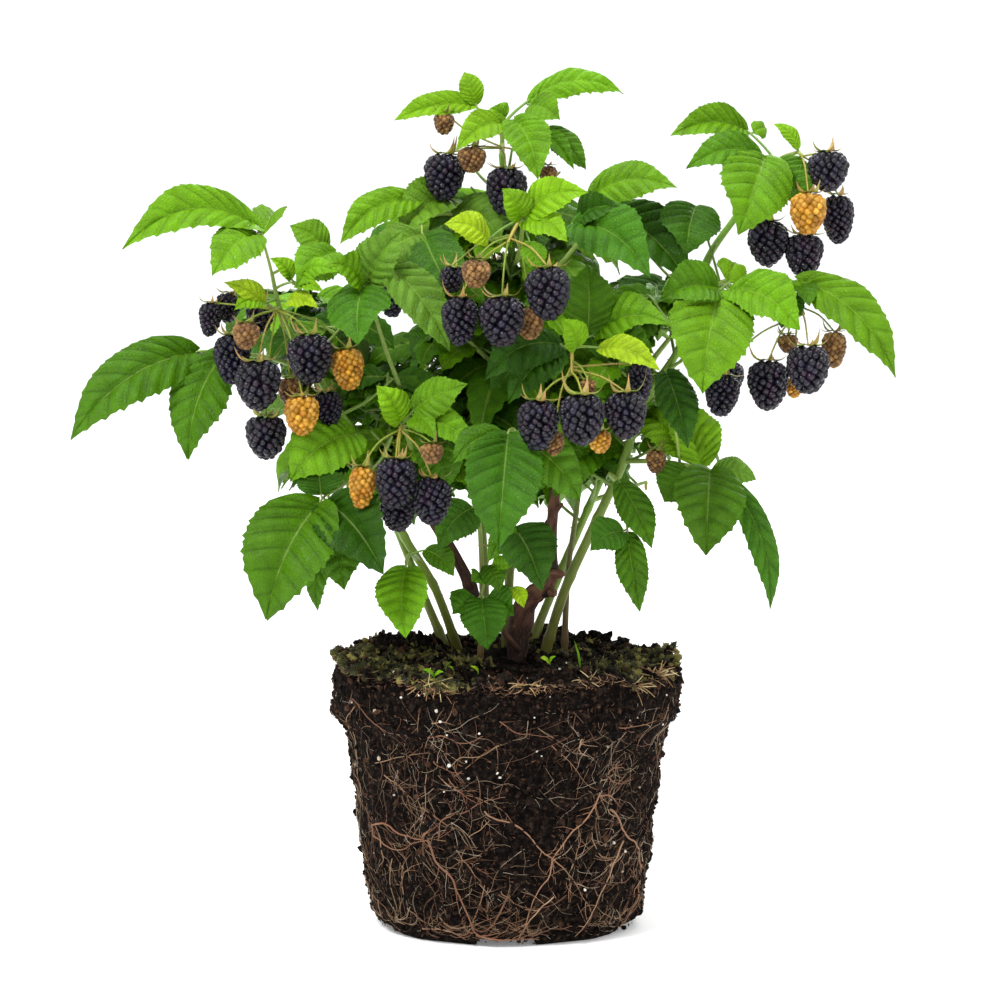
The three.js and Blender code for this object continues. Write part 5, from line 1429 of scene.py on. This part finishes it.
cap = np.array(cap)
cap_faces = [(0, 1 + j, 1 + (j + 1) % CAP_SIDES) for j in range(CAP_SIDES)]
for ring in range(2):
    for j in range(CAP_SIDES):
        a, b = 1 + ring * CAP_SIDES + j, 1 + ring * CAP_SIDES + (j + 1) % CAP_SIDES
        cap_faces += [(a, a + CAP_SIDES, b + CAP_SIDES), (a, b + CAP_SIDES, b)]
cap_faces = np.array(cap_faces)
core_points, core_faces = ball_shape(2)


def hung(lean):
    """Turns a fruit drawn upright so that its stalk end looks back up a stalk that runs along lean."""
    up = -unit(np.array([0, 0, -1.6]) + lean * 0.7 + rng.normal(0, 0.07, 3))
    first = unit(np.cross((0, 1, 0), up))
    return np.stack([first, np.cross(up, first), up], 1)


def fruit_mesh(width, length, kind):
    """One fruit about the origin, with its stalk end up: drupelets that wind round a core tinted dark as
    painted shade in the gaps between them.
    """
    share = np.linspace(0, 1, 60)
    out = np.interp(share, *FRUIT_SHAPE) * width / 2
    up = length * (0.5 - share)
    run = np.concatenate([[0], np.cumsum(np.hypot(np.diff(out), np.diff(up)))])
    skin = np.concatenate([[0], np.cumsum((out[1:] + out[:-1]) * np.pi * np.diff(run))])
    size = width / (5.0 if width > SMALL_FRUIT else 4.0)
    count = int(skin[-1] / (0.84 * size * size))
    first = rng.uniform(0, 6)
    palette = np.array([linear(*colour) for colour in FRUIT_TINTS[kind]])
    parts = []
    for k in range(count):
        at = np.interp((k + 0.62 + rng.uniform(-0.2, 0.2)) * skin[-1] / (count + 0.3), skin, run)
        r, z = np.interp(at, run, out), np.interp(at, run, up)
        r2, z2 = np.interp(at + 1e-4, run, out), np.interp(at + 1e-4, run, up)
        slope = unit(np.array([z - z2, r2 - r]))
        turn = first + k * GOLDEN_TURN + rng.normal(0, 0.07)
        normal = np.array([*spot_at(turn, slope[0]), slope[1]])
        normal = unit(normal + rng.normal(0, 0.08, 3))
        side = unit(np.cross(normal, (0.1, 0.2, 1) if abs(normal[2]) < 0.9 else (1, 0, 0)))
        frame_of = np.stack([side, np.cross(normal, side), normal])
        radius = size * 0.6 * rng.uniform(0.88, 1.1)
        middle = np.array([*spot_at(turn, r), z]) - normal * radius * rng.uniform(0.5, 0.72)
        points = (cap * radius * (1, 1, 1.04)) @ frame_of + middle
        tint = palette[rng.integers(len(palette))] * rng.uniform(0.75, 1.3)
        parts.append((points, cap_faces, tint))
    r = np.interp(0.5 - core_points[:, 2] / 2, *FRUIT_SHAPE) * width / 2 * 0.8
    round_it = core_points[:, :2] / np.maximum(np.hypot(*core_points[:, :2].T), 1e-6)[:, None]
    core = np.column_stack([round_it * r[:, None], core_points[:, 2] * length * 0.44])
    # Painted shade: the core is tinted far darker than the drupelets, so the gaps between them look shaded.
    parts.append((core, core_faces, palette[0] * 0.4))
    starts_at = np.cumsum([0] + [len(points) for points, _, _ in parts])
    tints = [np.tile(tint, (len(points), 1)) for points, _, tint in parts]
    faces = [part[1] + start for part, start in zip(parts, starts_at)]
    return np.vstack([points for points, _, _ in parts]), np.vstack(faces), {"tint": np.vstack(tints)}


def sepal_mesh(number, width, length, dried):
    """One sepal on the stalk end of an upright fruit: a pointed strip, folded along its middle and curled."""
    turn = (number + rng.uniform(-0.2, 0.2)) * 2 * math.pi / SEPALS
    way = np.array([*spot_at(turn, 1), 0])
    reach = width * rng.uniform(0.4, 0.72) if width > SMALL_FRUIT else width * 0.75
    curl = rng.uniform(0.2, 1.3)
    share = np.linspace(0, 1, len(SEPAL_WIDTHS))
    out = width * 0.06 + reach * (share - 0.18 * curl * share**3)
    high = length * 0.5 + 0.0009 - 0.1 * reach * np.sin(share * 3.1) + curl * reach * 0.62 * share**2.4
    spine = way * out[:, None] + np.array([0, 0, 1]) * high[:, None]
    half = (SEPAL_HALF * min(1, width / 0.016) * np.array(SEPAL_WIDTHS))[:, None]
    flank = np.cross((0, 0, 1), way) * half
    fold = np.array([0, 0, 0.35]) * half
    strip = np.stack([spine - flank + fold, spine, spine + flank + fold], 1)
    a = (np.arange(len(share) - 1)[:, None] * 3 + np.arange(2)).ravel()
    mix = np.repeat(np.clip(share * 1.2 + rng.uniform(-0.5, 0.3), 0, 1), 3)[:, None]
    green, tip_tone = (np.array(linear(*tone)) for tone in (SEPAL_GREEN, SEPAL_DRIED if dried else SEPAL_TIP))
    tints = {"tint": green * (1 - mix) + tip_tone * mix}
    return strip.reshape(-1, 3), np.stack([a, a + 3, a + 4, a + 1], 1), tints


def fruit_skin(name, roughness, coat, grain_depth):
    """The skin of a fruit: its tint, mottled by the fine grain, under a thin gloss."""
    made = tinted_material(name, roughness, 0.24, 260, grain_depth, 0.0001)
    shader = made.node_tree.nodes["Principled BSDF"]
    set_inputs(made.node_tree, shader, {"Coat Weight": coat, "Coat Roughness": 0.14})
    return made


fruit_parts = {"fruit_ripe_front": [], "fruit_ripe_back": [], "fruit_unripe": []}
sepal_parts = []
for number, (middle, width, length, kind, lean) in enumerate(berries):
    points, faces, tints = fruit_mesh(width, length, kind)
    turned = hung(lean).T
    name = "fruit_unripe" if kind != "k" else "fruit_ripe_front" if number < seen_fruit else "fruit_ripe_back"
    fruit_parts[name].append((points @ turned + middle, faces, tints))
    for k in range(SEPALS):
        points, faces, tints = sepal_mesh(k, width, length, kind == "t")
        sepal_parts.append((points @ turned + middle, faces, tints))

ripe_skin = fruit_skin("ripe_skin", 0.3, 0.2, 0.5)
unripe_skin = fruit_skin("unripe_skin", 0.42, 0.1, 0.2)
for name, parts in fruit_parts.items():
    piece = joined(name, parts, unripe_skin if name == "fruit_unripe" else ripe_skin)
sepals = joined("sepals", sepal_parts, young_bark)

# ---- Seedlings on the soil ----
# A blade of a seedling and a few bright seed leaves have come up through the moss in front.
SEEDLINGS = [
    ((37, 136, -44), (34, 151, -46), 1.3, "b"), ((-36, 132, -70), (-42, 136, -75), 3.6, "b"),
    ((-36, 132, -70), (-31, 135, -74), 3.0, "b"), ((22, 139, -52), (17, 142, -56), 4.0, "y"),
    ((22, 139, -52), (25, 143, -54), 2.4, "b"), ((-14, 134, -62), (-18, 138, -64), 2.2, "y"),
    ((-26, 134, -58), (-29, 138, -61), 2.2, "b"), ((-30, 136, -48), (-27, 140, -52), 2.0, "n"),
]
seed_parts = [
    leaflet_mesh(placed(foot), placed(tip), width * MM, tint, plain_blade, 0.3)
    for foot, tip, width, tint in SEEDLINGS]
seedlings = joined("seedlings", seed_parts, leaf_skin)
